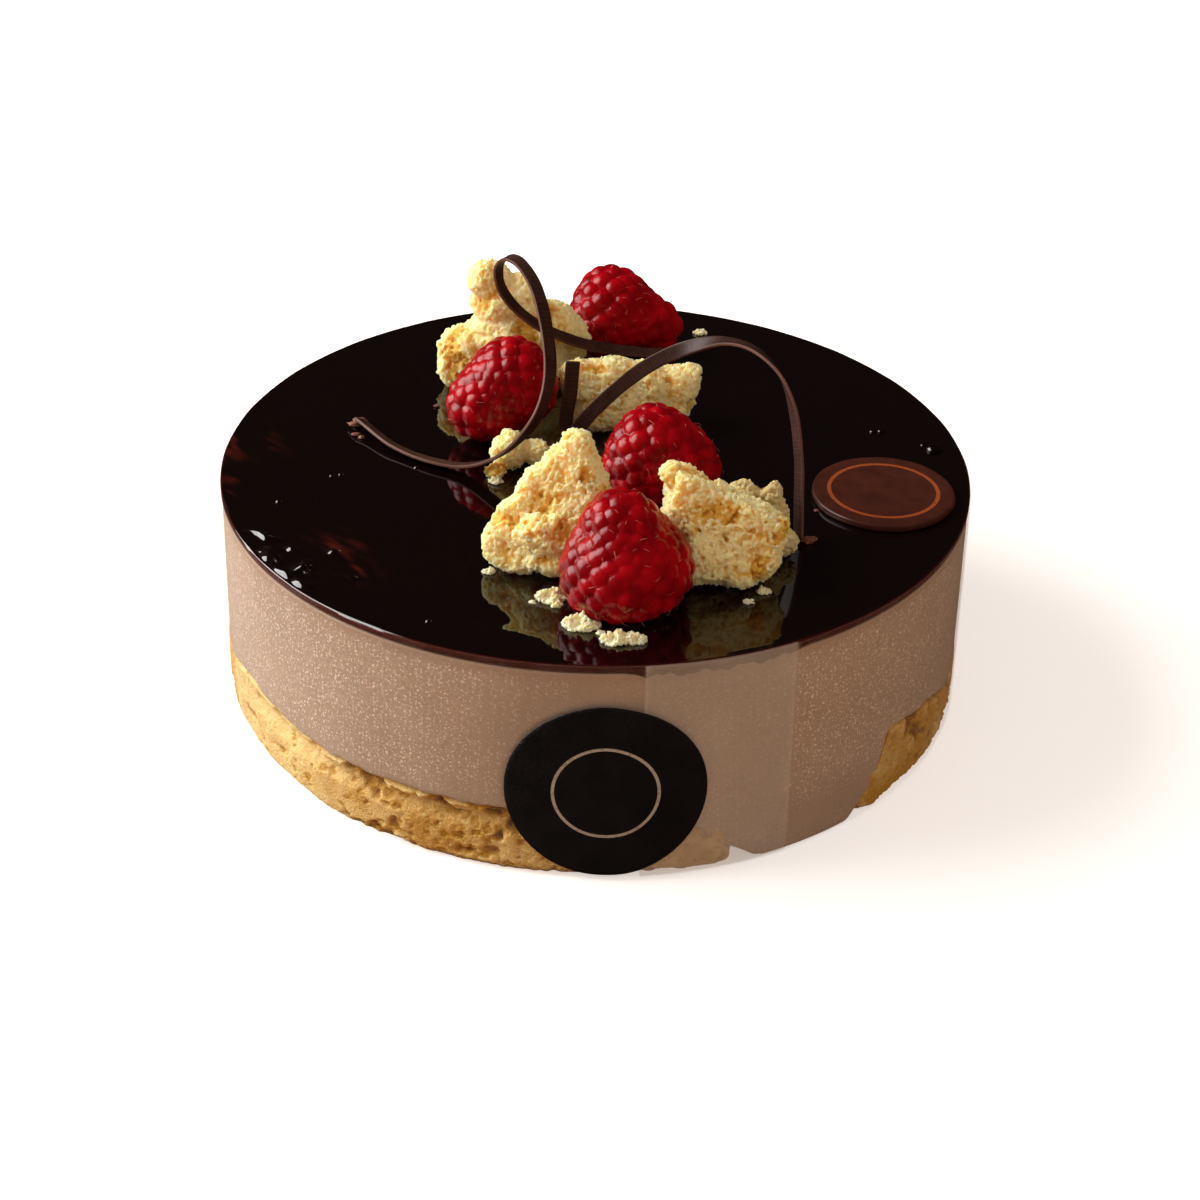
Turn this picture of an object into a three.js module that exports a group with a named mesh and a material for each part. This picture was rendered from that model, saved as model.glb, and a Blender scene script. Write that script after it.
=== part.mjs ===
// A glazed chocolate mousse cake, 160 mm across and 50 mm tall under its toppings: a torn sponge base,
// a mousse disc poured over it inside a clear film collar, a mirror glaze, and on top four raspberries,
// six torn pieces of sponge, two chocolate curls and a chocolate medallion.
// Millimetres, +Z up. The origin is the centre of the cake's underside, and -Y is its front.
import * as THREE from "three";
import { ConvexGeometry } from "three/addons/geometries/ConvexGeometry.js";
import { mergeVertices } from "three/addons/utils/BufferGeometryUtils.js";

// ---- Driving dimensions -----------------------------------------------------------------------------
const GAP = 0.3; // clearance between neighbouring pieces
const RING_STEPS = 88; // facets round the cake

const GLAZE_TOP = 49.5;
const GLAZE_THICKNESS = 1.2;
const MOUSSE_TOP = GLAZE_TOP - GLAZE_THICKNESS - GAP;
const NECK_RADIUS = 79.05; // the mousse under the glaze's rim

const FILM_THICKNESS = 0.25;
const FILM_LAYER_GAP = 0.15; // air between the two layers where the film overlaps itself
const FILM_FOOT = 0.6;
const FILM_TOP = 49.9;
const FILM_TOP_RADIUS = 80; // inside of the film at its top edge
const FILM_FOOT_RADIUS = 80.7; // and at its foot, a little wider
const GLAZE_RADIUS = FILM_TOP_RADIUS - GAP;
const FILM_OUTER_END = 7.5; // bearing of the film's outer end, degrees from the front
const FILM_INNER_END = 29.3; // bearing of its inner end, after one full turn
const FILM_EASE = 8; // degrees in which the outer layer comes back to the wall

const SPONGE_RADIUS = 80; // the base where it shows, at its top
const SPONGE_FOOT_INSET = 2; // how far it draws in towards the floor
const SPONGE_TUCKED_RADIUS = 72; // the base where the mousse runs down in front of it
const SPONGE_THICKNESS = 13; // at its centre

const LABEL_RADIUS = 20;
const LABEL_THICKNESS = 0.3;
const LABEL_BEARING = 2.6;
const LABEL_HEIGHT = 21.1;

const MEDALLION_RADIUS = 15;
const MEDALLION_THICKNESS = 1.8;
const MEDALLION_PLACE = [60.5, -13];

const CURL_WIDTH = 3.1;
const CURL_THICKNESS = 0.9;
const CURL_STEPS = 46;

// Height of the mousse's lower edge on the film, by bearing: it runs to the floor at the front right.
const MOUSSE_EDGE = [
  [-76, 12.6], [-62, 16.3], [-37, 14.2], [-12, 14.5], [6, 13.5], [15.5, 10.3], [19, 5.2],
  [26, 0], [40, 0], [45.4, 4.7], [50, 17.4], [59, 15.3], [74, 10.4], [105, 14], [150, 12.5],
  [200, 15], [245, 12],
];

const TOPPING_FLOOR = GLAZE_TOP + GAP;
const DRUPELET = 3.2; // width of one raspberry drupelet

// Raspberries: centre, the way the tip points, length, width, and how much the tip end narrows.
const BERRIES = [
  { centre: [6.4, -60.2, 61.2], tip: [-0.28, 0.1, 1], length: 24.3, width: 25.4, taper: 0.22 },
  { centre: [14, -18.5, 59.9], tip: [0.75, -0.25, -0.35], length: 25, width: 21.4, taper: 0.12 },
  { centre: [-21.2, 11, 59.6], tip: [-0.8, -0.45, -0.4], length: 25.6, width: 20, taper: 0.14 },
  { centre: [6.3, 55, 57.9], tip: [1, -0.1, -0.15], length: 27, width: 18.6, taper: 0.16 },
];

// Torn sponge: each piece is the round hull of a few lobes, [x, y, z, half width, half depth, half height].
const TORN = [
  { detail: 5, centre: [-19, 37, 62], lobes: [
    [-19, 37, 61, 10, 9, 11], [-20.5, 38, 71.5, 7.2, 6, 7.4], [-28.8, 35.4, 55.6, 8, 8, 8.5],
    [-10, 39.5, 61, 6.4, 6, 8],
  ] },
  { detail: 5, centre: [9, 16, 58], lobes: [
    [9, 16.5, 58, 10.5, 8.5, 8.2], [2.2, 15, 60.6, 7, 6.5, 7.2], [17.5, 18.5, 56.8, 6.5, 6.5, 7.4],
    [20, 19.5, 61.5, 2.4, 3, 3],
  ] },
  { detail: 5, centre: [-8, -41, 61], lobes: [
    [-7, -40, 62, 8.8, 8, 9.4], [-2.8, -36.5, 69.6, 4.6, 4.8, 5.6], [-15.4, -45.8, 55.4, 6.7, 6.8, 7.4],
    [-8, -46.8, 54.6, 7.8, 6, 6.2], [0.5, -40.5, 60.5, 4.5, 5, 6.6], [-11.5, -42, 62, 5.4, 5, 5.4],
  ] },
  { detail: 5, centre: [25, -47, 60], lobes: [
    [24, -46.5, 60.5, 8.8, 7.4, 9], [17.6, -43.8, 69.6, 3.4, 3.8, 3.8], [21.8, -45, 65.8, 5.6, 5, 5.4],
    [21, -49.5, 55, 6.6, 6.4, 6], [29.2, -50.5, 54, 6.4, 6.6, 6], [34.4, -46, 59.6, 3.9, 4.2, 4.6],
    [29, -45, 63.6, 5.4, 5, 4.6],
  ] },
  { detail: 3, centre: [34, -35, 56], lobes: [
    [34, -35, 56, 5.5, 4, 6.2], [30.5, -34.5, 61.6, 5, 3.2, 3.4], [38, -37.5, 52.4, 3.6, 3, 3],
  ] },
  { detail: 4, centre: [-17.5, -4.5, 53.6], lobes: [
    [-18, -4.5, 53.5, 4.8, 4.2, 4.4], [-13.2, -3.5, 53, 3.6, 3.4, 3.4], [-21.6, -9.6, 51, 2.8, 2.6, 2],
  ] },
];

// Curls: waypoints of each ribbon's middle line from its free tip to its foot, and how it faces.
const CURL_1 = [
  [-52, 12.5, 51.6], [-43.4, 2.4, 50.6], [-35.4, -3.5, 50.6], [-27.7, -7, 51.4], [-21.2, -9.9, 54.9],
  [-16, -11, 60], [-11.9, -8, 65], [-10, -4, 71.7], [-11.1, 3, 79.8], [-13.7, 10, 85.7],
  [-17, 15, 88.4], [-19.8, 19, 87.8], [-21.8, 21.5, 84.7], [-21.5, 22.5, 79.7], [-19, 23.5, 75],
  [-14.2, 25.6, 69.6], [-8.8, 28.8, 65.2], [-2, 34, 60.5], [4.8, 39.2, 57], [11.8, 42, 55.2],
  [19.4, 44.2, 54.6],
];
const CURL_1_AXIS = new THREE.Vector3(0.66, 0.75, 0);
const CURL_2 = [
  [-5.4, 8.2, 68.9], [-5.9, 7.7, 61.9], [-6.7, 7, 54.4], [-5.9, 5.8, 51.9], [-4, 5, 54.7],
  [-1.1, 4, 59.1], [5.8, 2.5, 67.2], [11.9, 0, 73.3], [18.9, -4, 78.8], [25.9, -8, 82.2],
  [31.8, -13, 82.8], [36.7, -18, 79.8], [39.4, -23, 74.5], [40.9, -27.5, 65.6], [41.2, -30.5, 58.1],
  [41.5, -32.3, 50.6],
];
const CURL_2_FACE_AT_TIP = new THREE.Vector3(0.3, -1, 0);
const CURL_2_FACE_AT_FOOT = new THREE.Vector3(0.6, -0.6, 0.2);

// ---- Looks ------------------------------------------------------------------------------------------
const finish = (color, roughness, extra = {}) =>
  new THREE.MeshStandardMaterial({ color, roughness, metalness: 0, ...extra });
const SPONGE = finish(0xe3c68a, 0.9);
const MOUSSE = finish(0xa98674, 0.6);
const GLAZE = finish(0x150908, 0.06);
const FILM = finish(0xf2eeea, 0.15, { transparent: true, opacity: 0.2 });
const LABEL = finish(0x17181c, 0.45);
const CHOCOLATE = finish(0x3a2019, 0.4);
const MEDALLION = finish(0x3c1a12, 0.35);
const RASPBERRY = finish(0xa01220, 0.35);

// ---- Helpers ----------------------------------------------------------------------------------------
const { degToRad, radToDeg, lerp, smoothstep, euclideanModulo } = THREE.MathUtils;

// A point at a bearing, in degrees from the front (-Y), positive towards the right (+X).
function around(radius, bearing, z) {
  const angle = degToRad(bearing);
  return new THREE.Vector3(radius * Math.sin(angle), -radius * Math.cos(angle), z);
}

// Value at a bearing of a closed list of [bearing, value] keys, eased from key to key.
function keyed(keys, bearing) {
  const first = keys[0][0];
  const at = first + euclideanModulo(bearing - first, 360);
  const closed = [...keys, [first + 360, keys[0][1]]];
  const next = closed.findIndex(([key]) => key > at);
  const [fromKey, from] = closed[next - 1];
  const [toKey, to] = closed[next];
  return lerp(from, to, smoothstep(at, fromKey, toKey));
}

// Sum of three sine waves across each other: lumps of about the given size, from -1 to 1.
function lumps(x, y, z, size) {
  const k = Math.PI / size;
  const wave = (a, b, c, phase) => Math.sin(k * (a * x + b * y + c * z) + phase);
  return (wave(1, 0.6, -0.3, 0.4) * wave(-0.5, 1, 0.4, 2.1) + wave(0.3, -0.4, 1, 4.2)) / 2;
}

// Shared vertices joined and empty triangles dropped.
function closed(geometry) {
  geometry.deleteAttribute("normal");
  geometry.deleteAttribute("uv");
  const joined = mergeVertices(geometry, 1e-4);
  const index = joined.index.array;
  const kept = [];
  for (let i = 0; i < index.length; i += 3) {
    const [a, b, c] = [index[i], index[i + 1], index[i + 2]];
    if (a !== b && b !== c && c !== a) kept.push(a, b, c);
  }
  joined.setIndex(kept);
  joined.computeVertexNormals();
  return joined;
}

// Every vertex of a geometry moved to where the function sends it.
function moved(geometry, place) {
  const position = geometry.getAttribute("position");
  const point = new THREE.Vector3();
  for (let i = 0; i < position.count; i++) {
    point.fromBufferAttribute(position, i);
    const to = place(point, i);
    position.setXYZ(i, to.x, to.y, to.z);
  }
  return closed(geometry);
}

// A turned solid whose profile of [radius, z] points changes with the bearing.
function turned(profileAt) {
  const start = profileAt(0).map(([radius, z]) => new THREE.Vector2(radius, z));
  const lathe = new THREE.LatheGeometry(start, RING_STEPS);
  const profiles = Array.from({ length: RING_STEPS }, (_, i) => profileAt((360 * i) / RING_STEPS));
  return moved(lathe, (point, i) => {
    const step = Math.floor(i / start.length) % RING_STEPS;
    const [radius, z] = profiles[step][i % start.length];
    return around(radius, (360 * step) / RING_STEPS, z);
  });
}

function piece(name, geometry, material) {
  const mesh = new THREE.Mesh(geometry, material);
  mesh.name = name;
  return mesh;
}

// ---- Sponge base and mousse -------------------------------------------------------------------------
const mousseEdge = (bearing) => keyed(MOUSSE_EDGE, bearing);
const skirt = (bearing) => 1 - smoothstep(mousseEdge(bearing), 2, 9); // 1 where mousse covers the base
const rimHeight = (bearing) => Math.max(mousseEdge(bearing), 9.5);
const filmRadius = (z) => lerp(FILM_FOOT_RADIUS, FILM_TOP_RADIUS, z / FILM_TOP);
const mousseRadius = (z) => filmRadius(z) - GAP - 0.05;

function spongeRadius(bearing) {
  const torn = 0.6 * lumps(bearing, 0, 0, 11) + 0.3 * lumps(0, bearing, 0, 5);
  return lerp(SPONGE_RADIUS - 0.7 + torn, SPONGE_TUCKED_RADIUS, skirt(bearing));
}

// The base: its side is torn and bulges, its top rises or falls to meet the mousse's edge.
const spongeBase = turned((bearing) => {
  const radius = spongeRadius(bearing);
  const top = rimHeight(bearing) - GAP / 2;
  const crag = (z) => 0.6 * Math.abs(lumps(bearing * 1.4, z * 2, 0, 6));
  return [
    [0, 0],
    [radius - SPONGE_FOOT_INSET - 1.4, 0],
    [radius - SPONGE_FOOT_INSET - crag(2), 2],
    [radius - 0.4 * SPONGE_FOOT_INSET - crag(6), 6.2],
    [radius - 0.3 - crag(10), top - 1.5],
    [radius - 2.6, top],
    [0, SPONGE_THICKNESS],
  ];
});

// How far the glaze has crept down between the mousse and the film.
function seep(bearing) {
  const at = euclideanModulo(bearing + 180, 360) - 180;
  const creeping = smoothstep(at, 4, 9) * (1 - smoothstep(at, 27, 32));
  return 0.35 + creeping * (0.9 + 0.6 * Math.sin(at * 1.1));
}

// The mousse: over the base, down the film as far as its edge, and to the floor where it ran down.
// Its wall steps in to a neck below the seeping glaze.
const mousse = turned((bearing) => {
  const inside = spongeRadius(bearing) + GAP;
  const edge = mousseEdge(bearing);
  const under = rimHeight(bearing) + GAP / 2;
  const wallTop = MOUSSE_TOP - 0.35 - seep(bearing);
  return [
    [0, SPONGE_THICKNESS + GAP],
    [inside - 2.6 - GAP, under],
    [inside + 0.05, under - 0.05],
    [inside + 0.1, Math.min(edge, under - 0.1)],
    [mousseRadius(edge), edge],
    [mousseRadius(wallTop), wallTop],
    [NECK_RADIUS, wallTop + 0.6],
    [NECK_RADIUS - 0.05, MOUSSE_TOP],
    [0, MOUSSE_TOP],
  ];
});

// ---- Glaze ------------------------------------------------------------------------------------------
const glaze = turned((bearing) => {
  const underside = GLAZE_TOP - GLAZE_THICKNESS;
  const lip = underside - seep(bearing);
  return [
    [0, underside],
    [NECK_RADIUS + GAP, underside],
    [NECK_RADIUS + GAP, lip],
    [GLAZE_RADIUS, lip],
    [GLAZE_RADIUS, GLAZE_TOP - 0.35],
    [GLAZE_RADIUS - 0.9, GLAZE_TOP],
    [0, GLAZE_TOP],
  ];
});

// ---- Film collar and its label ----------------------------------------------------------------------
// Distance of the film's inner face from the wall, at a bearing counted from the film's outer end.
function filmLift(bearing) {
  const step = FILM_THICKNESS + FILM_LAYER_GAP;
  return step * (1 - smoothstep(bearing, FILM_INNER_END, FILM_INNER_END + FILM_EASE));
}

// One strip, wound a full turn and the overlap: a flat box bent round the cake.
function filmCollar() {
  const turn = 360 + FILM_INNER_END - FILM_OUTER_END;
  const height = FILM_TOP - FILM_FOOT;
  const strip = new THREE.BoxGeometry(FILM_THICKNESS, turn, height, 1, RING_STEPS + 2, 1);
  return moved(strip, (point) => {
    const bearing = FILM_OUTER_END + point.y + turn / 2;
    const z = FILM_FOOT + point.z + height / 2;
    const radius = filmRadius(z) + filmLift(bearing) + FILM_THICKNESS / 2 + point.x;
    return around(radius, bearing, z);
  });
}

// A thin round sticker laid on the film, over the step at the film's outer end.
function label() {
  const rings = [0, 1 / 3, 2 / 3, 1].map((share) => share * LABEL_RADIUS);
  const back = rings.map((radius) => new THREE.Vector2(radius, 0));
  const front = rings.map((radius) => new THREE.Vector2(radius, LABEL_THICKNESS)).reverse();
  const disc = new THREE.LatheGeometry([...back, ...front], 36);
  const layer = FILM_THICKNESS + FILM_LAYER_GAP;
  return moved(disc, (point) => {
    const z = LABEL_HEIGHT - point.z;
    const wall = filmRadius(z) + FILM_THICKNESS;
    const bearing = LABEL_BEARING + radToDeg(point.x / wall);
    const onto = layer * smoothstep(bearing, FILM_OUTER_END - 6, FILM_OUTER_END - 0.5);
    return around(wall + onto + GAP + point.y, bearing, z);
  });
}

// ---- Medallion --------------------------------------------------------------------------------------
function medallion() {
  const profile = [
    [0, 0], [MEDALLION_RADIUS - 0.3, 0], [MEDALLION_RADIUS, 0.4],
    [MEDALLION_RADIUS, MEDALLION_THICKNESS - 0.5], [MEDALLION_RADIUS - 0.5, MEDALLION_THICKNESS],
    [0, MEDALLION_THICKNESS],
  ].map(([radius, z]) => new THREE.Vector2(radius, z));
  const [x, y] = MEDALLION_PLACE;
  const disc = closed(new THREE.LatheGeometry(profile, 40));
  return disc.rotateX(Math.PI / 2).translate(x, y, TOPPING_FLOOR);
}

// ---- Star-shaped solids: a radius for each direction from a centre ------------------------------------
// Distance along a direction at which a ray from the origin leaves (or enters) an ellipsoid, or 0.
function ellipsoidHit(direction, centre, halves, side) {
  const d = direction.clone().divide(halves);
  const m = centre.clone().divide(halves);
  const along = d.dot(m);
  const root = along * along - d.lengthSq() * (m.lengthSq() - 1);
  return root < 0 ? 0 : (along + side * Math.sqrt(root)) / d.lengthSq();
}

// The radius cut short where it would reach the glaze or come within the gap of a neighbour.
function keptClear(radius, direction, centre, neighbours) {
  let reach = radius;
  if (direction.z < 0) reach = Math.min(reach, (TOPPING_FLOOR - centre.z) / direction.z);
  for (const { at, halves } of neighbours) {
    const entry = ellipsoidHit(direction, at.clone().sub(centre), halves, -1);
    if (entry > 0) reach = Math.min(reach, entry);
  }
  return reach;
}

// ---- Raspberries ------------------------------------------------------------------------------------
const GOLDEN_ANGLE = Math.PI * (3 - Math.sqrt(5));

// Directions spread evenly over a sphere on a golden spiral, first to last along +Z.
function spiral(count) {
  return Array.from({ length: count }, (_, i) => {
    const up = 1 - (2 * (i + 0.5)) / count;
    const angle = i * GOLDEN_ANGLE;
    const flat = Math.sqrt(1 - up * up);
    return new THREE.Vector3(flat * Math.cos(angle), flat * Math.sin(angle), up);
  });
}

// A blunt cone with a round tip along +Z: tip, widest part and base from one superellipse.
function berryBody(direction, { length, width, taper }) {
  const up = direction.z;
  const half = (width / 2) * (1 - taper * up);
  const flat = Math.sqrt(1 - up * up);
  const BLUNT = 2.3;
  return ((Math.abs(up) / (length / 2)) ** BLUNT + (flat / half) ** BLUNT) ** (-1 / BLUNT);
}

// Drupelets are balls half sunk in the body: the surface is the farthest ball along each direction.
function raspberry(berry) {
  const centre = new THREE.Vector3(...berry.centre);
  const stand = new THREE.Quaternion().setFromUnitVectors(
    new THREE.Vector3(0, 0, 1), new THREE.Vector3(...berry.tip).normalize());
  const size = (berry.length + 2 * berry.width) / 6;
  const count = Math.round((4 * Math.PI * size * size) / (DRUPELET * DRUPELET * 0.87));
  const ball = DRUPELET * 0.6;
  const sunk = (direction) => berryBody(direction, berry) - ball * 0.95;
  const tops = spiral(count);
  const balls = tops.map((top) => top.clone().multiplyScalar(sunk(top)));
  const surface = (direction) => {
    const halves = new THREE.Vector3(ball, ball, ball);
    const hits = balls.map((at) => ellipsoidHit(direction, at, halves, 1));
    return Math.max(sunk(direction) + ball * 0.45, ...hits);
  };
  const net = new ConvexGeometry(tops).getAttribute("position");
  const valleys = Array.from({ length: net.count / 3 }, (_, i) => {
    const corners = [0, 1, 2].map((k) => new THREE.Vector3().fromBufferAttribute(net, 3 * i + k));
    return corners[0].add(corners[1]).add(corners[2]).normalize();
  });
  return moved(new ConvexGeometry([...tops, ...valleys]), (point) => {
    const direction = point.clone().normalize();
    const out = direction.clone().applyQuaternion(stand);
    const reach = keptClear(surface(direction), out, centre, []);
    return out.multiplyScalar(reach).add(centre);
  });
}

// ---- Torn sponge ------------------------------------------------------------------------------------
// Largest of two distances, rounded where they meet.
function softMax(a, b, round) {
  const blend = Math.max(round - Math.abs(a - b), 0);
  return Math.max(a, b) + (blend * blend) / (4 * round);
}

function tornSponge(torn, neighbours) {
  const centre = new THREE.Vector3(...torn.centre);
  const lobes = torn.lobes.map(([x, y, z, ...halves]) => ({
    at: new THREE.Vector3(x, y, z).sub(centre),
    halves: new THREE.Vector3(...halves),
  }));
  return moved(new THREE.IcosahedronGeometry(1, torn.detail), (point) => {
    const out = point.clone().normalize();
    const reaches = lobes.map(({ at, halves }) => ellipsoidHit(out, at, halves, 1));
    const smooth = reaches.reduce((a, b) => softMax(a, b, 2.5));
    const foot = out.clone().multiplyScalar(smooth).add(centre);
    const crag = 0.9 * lumps(foot.x, foot.y, foot.z, 5) + 0.4 * lumps(foot.z, foot.x, foot.y, 3.6);
    const reach = keptClear(smooth + crag, out, centre, neighbours);
    return out.multiplyScalar(reach).add(centre);
  });
}

// ---- Curls ------------------------------------------------------------------------------------------
// Across a ribbon that rolls round a fixed axis.
const rolledRound = (axis) => (along) => axis.clone().addScaledVector(along, -axis.dot(along)).normalize();

// Across a ribbon whose broad side faces one way at its tip and another at its foot.
const facing = (atTip, atFoot) => (along, share) =>
  atTip.clone().lerp(atFoot, share).cross(along).normalize();

// A straight bar bent along the waypoints.
function curl(waypoints, acrossAt) {
  const points = waypoints.map((place) => new THREE.Vector3(...place));
  const path = new THREE.CatmullRomCurve3(points, false, "centripetal");
  const bar = new THREE.BoxGeometry(CURL_WIDTH, CURL_THICKNESS, 1, 1, 1, CURL_STEPS);
  return moved(bar, (point) => {
    const share = point.z + 0.5;
    const along = path.getTangentAt(share);
    const across = acrossAt(along, share);
    const out = along.clone().cross(across);
    return path.getPointAt(share).addScaledVector(across, point.x).addScaledVector(out, point.y);
  });
}

// ---- Assembly ---------------------------------------------------------------------------------------
// The ellipsoid round a piece that its neighbours keep clear of.
function shell(mesh) {
  mesh.geometry.computeBoundingBox();
  const box = mesh.geometry.boundingBox;
  const halves = box.getSize(new THREE.Vector3()).multiplyScalar(0.5 * 1.07).addScalar(GAP);
  return { at: box.getCenter(new THREE.Vector3()), halves };
}

const berries = BERRIES.map((berry, i) => piece(`raspberry_${i + 1}`, raspberry(berry), RASPBERRY));
const curlFoot = { at: new THREE.Vector3(41.4, -31.5, 55), halves: new THREE.Vector3(2.6, 2.6, 9) };
const torn = [];
for (const shape of TORN) {
  const neighbours = [...berries.map(shell), ...torn.map(shell), curlFoot];
  torn.push(piece(`sponge_piece_${torn.length + 1}`, tornSponge(shape, neighbours), SPONGE));
}

const cake = new THREE.Group();
cake.add(
  piece("sponge_base", spongeBase, SPONGE),
  piece("mousse", mousse, MOUSSE),
  piece("glaze", glaze, GLAZE),
  piece("film_collar", filmCollar(), FILM),
  piece("label", label(), LABEL),
  piece("medallion", medallion(), MEDALLION),
  ...berries,
  ...torn,
  piece("curl_1", curl(CURL_1, rolledRound(CURL_1_AXIS)), CHOCOLATE),
  piece("curl_2", curl(CURL_2, facing(CURL_2_FACE_AT_TIP, CURL_2_FACE_AT_FOOT)), CHOCOLATE),
);

export default cake;
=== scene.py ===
# %% [markdown]
# # A mirror-glazed mousse cake, dressed in Blender
# The cake is a round of torn sponge with mousse poured over it, held in a clear film collar. A mirror
# glaze lies on top, with four raspberries, pieces of torn sponge, two chocolate curls and a round
# chocolate medallion. The CAD part fixes every place and size. This lesson gives each piece the surface
# that the CAD leaves out: crumb, drupelets, crinkles, frost and gloss.
# The first cell loads the CAD part as a frame; the boxes of its nodes are read later to keep the torn sponge
# clear of its neighbours.

import bpy
import numpy as np
from mathutils import Matrix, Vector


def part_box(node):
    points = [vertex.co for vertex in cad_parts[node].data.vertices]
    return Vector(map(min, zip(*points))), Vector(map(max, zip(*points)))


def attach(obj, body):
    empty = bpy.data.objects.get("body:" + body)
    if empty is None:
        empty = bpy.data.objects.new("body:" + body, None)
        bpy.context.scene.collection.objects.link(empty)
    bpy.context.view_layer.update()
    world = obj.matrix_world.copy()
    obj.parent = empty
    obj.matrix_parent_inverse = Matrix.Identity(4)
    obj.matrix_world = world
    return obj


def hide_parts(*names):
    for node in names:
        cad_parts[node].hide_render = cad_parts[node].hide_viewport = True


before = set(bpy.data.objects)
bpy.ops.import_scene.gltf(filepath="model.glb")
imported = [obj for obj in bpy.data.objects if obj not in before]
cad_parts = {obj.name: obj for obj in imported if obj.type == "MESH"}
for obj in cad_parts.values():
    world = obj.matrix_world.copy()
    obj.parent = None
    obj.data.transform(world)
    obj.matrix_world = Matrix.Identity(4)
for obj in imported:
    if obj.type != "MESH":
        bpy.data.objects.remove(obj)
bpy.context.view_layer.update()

MM = 0.001                              # one millimetre in metres
FINE = 1.0      # share of the full count of grid lines


def linked(name, data):
    """A new object that holds the data, linked to the scene."""
    holder = bpy.data.objects.new(name, data)
    bpy.context.scene.collection.objects.link(holder)
    return holder


# %% [markdown]
# ## The camera
# It stands where the photographer's did, worked out from the ellipses of the glaze and the film's foot:
# 0.51 m from the cake, 32 degrees above the horizon, with a lens of 69 mm and a slight roll.

# %% Camera
camera = linked("camera", bpy.data.cameras.new("camera"))
bpy.context.scene.camera = camera
camera.data.sensor_fit = "HORIZONTAL"
camera.data.sensor_width = 36.0
camera.data.lens = 69.2
camera.data.clip_start = 0.01
camera.matrix_world = Matrix((
    (0.99972, -0.02347, 0.0, 0.001565),
    (0.01239, 0.52768, -0.84935, -0.436918),
    (0.01994, 0.84912, 0.52783, 0.285789),
    (0.0, 0.0, 0.0, 1.0),
))
print("camera: at", [round(v, 3) for v in camera.matrix_world.translation])

# %% [markdown]
# ## Grids and skins
# Nearly every piece here is a grid of points worked out with numpy, in millimetres, and then given
# faces. Columns of the grid run round the piece and close on themselves, rows run along it, and the
# first and the last row each shrink to one point, a pole. Faces whose skin has a negative volume are
# turned round, so that they always face outwards.

# %% Helpers that make a mesh from a grid
def ring_faces(rows, columns):
    """Quads between neighbouring rows, and a fan of triangles round each pole.

    Vertex numbers count along each row; a pole's row has one vertex only."""
    start = np.arange(rows) * columns
    start[1:] -= columns - 1
    step = np.arange(columns)
    after = (step + 1) % columns
    low, high = start[1:-2, None], start[2:-1, None]
    quads = np.stack([low + step, low + after, high + after, high + step], -1).reshape(-1, 4)
    first = np.stack([0 * step, start[1] + after, start[1] + step], -1)
    last = np.stack([start[-2] + step, start[-2] + after, 0 * step + start[-1]], -1)
    return quads, np.concatenate([first, last])


def flat_grid(points):
    """The grid's points as one list, with each pole's row as one mean point."""
    middle = points[1:-1].reshape(-1, points.shape[-1])
    return np.concatenate([points[:1].mean(1), middle, points[-1:].mean(1)])


def copies(points, rows, columns):
    """Many skins of one grid size, given as (count, points of one, 3), as one list of points and faces."""
    quads, tris = ring_faces(rows, columns)
    shift = np.arange(len(points))[:, None, None] * points.shape[1]
    return points.reshape(-1, 3), (quads + shift).reshape(-1, 4), (tris + shift).reshape(-1, 3)


def new_mesh(name, vertices, quads, tris=np.zeros((0, 3), int), **marks):
    """A smooth-shaded mesh object from points in mm. Marks are named numbers, one for each point."""
    fans = np.concatenate([tris, quads[:, [0, 1, 2]], quads[:, [0, 2, 3]]])
    a, b, c = (vertices[fans[:, k]] for k in range(3))
    volume = np.einsum("ij,ij->i", a, np.cross(b, c)).sum() / 6
    order = -1 if volume < 0 else 1
    mesh = bpy.data.meshes.new(name)
    faces = quads[:, ::order].tolist() + tris[:, ::order].tolist()
    mesh.from_pydata(vertices * MM, [], faces, shade_flat=False)
    for key, values in marks.items():
        mesh.attributes.new(key, "FLOAT", "POINT").data.foreach_set("value", values.astype(np.float32))
    print(f"{name}: {2 * len(quads) + len(tris)} triangles, {abs(volume) / 1000:.2f} ml")
    return linked(name, mesh)


def skin(name, points, **marks):
    """A closed piece from a grid of points (rows, columns, 3) in mm, with marks of the same grid."""
    flat = {key: flat_grid(values[..., None])[:, 0] for key, values in marks.items()}
    return new_mesh(name, flat_grid(points), *ring_faces(*points.shape[:2]), **flat)


def capped(rings):
    """The rings and, at each end, one more row that lies wholly at the end's middle."""
    first, last = (end.mean(1, keepdims=True) + 0 * end for end in (rings[:1], rings[-1:]))
    return np.concatenate([first, rings, last])


# %% [markdown]
# Organic surfaces come from three kinds of unevenness, all worked out from the place in space, so that
# they have no seam: crossed sine waves for big lumps, smooth drifting numbers for waviness, and the
# distance to the nearest of many scattered seeds for crumbs and pores.

# %% Helpers for uneven surfaces
def ease(x, start, end):
    """0 before start, 1 after end, and 3t^2 - 2t^3 between them."""
    t = np.clip((x - start) / (end - start), 0, 1)
    return t * t * (3 - 2 * t)


def between(x, rise, full, fall, end):
    """0 outside rise and end, 1 from full to fall, and eased in between."""
    return ease(x, rise, full) * (1 - ease(x, fall, end))


def bell(x, width):
    """exp(-(x / width)^2): 1 in the middle, a third at the width."""
    return np.exp(-(x / width) ** 2)


def dome(away, radius):
    """1 - (away / radius)^2 inside the radius, 0 outside."""
    return np.clip(1 - (away / radius) ** 2, 0, 1)


def mix(a, b, share):
    """a where share is 0, b where it is 1."""
    return a + (b - a) * share


def unit(v):
    """The vectors of the last axis, each with length 1."""
    return np.asarray(v, float) / np.linalg.norm(v, axis=-1, keepdims=True)


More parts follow.
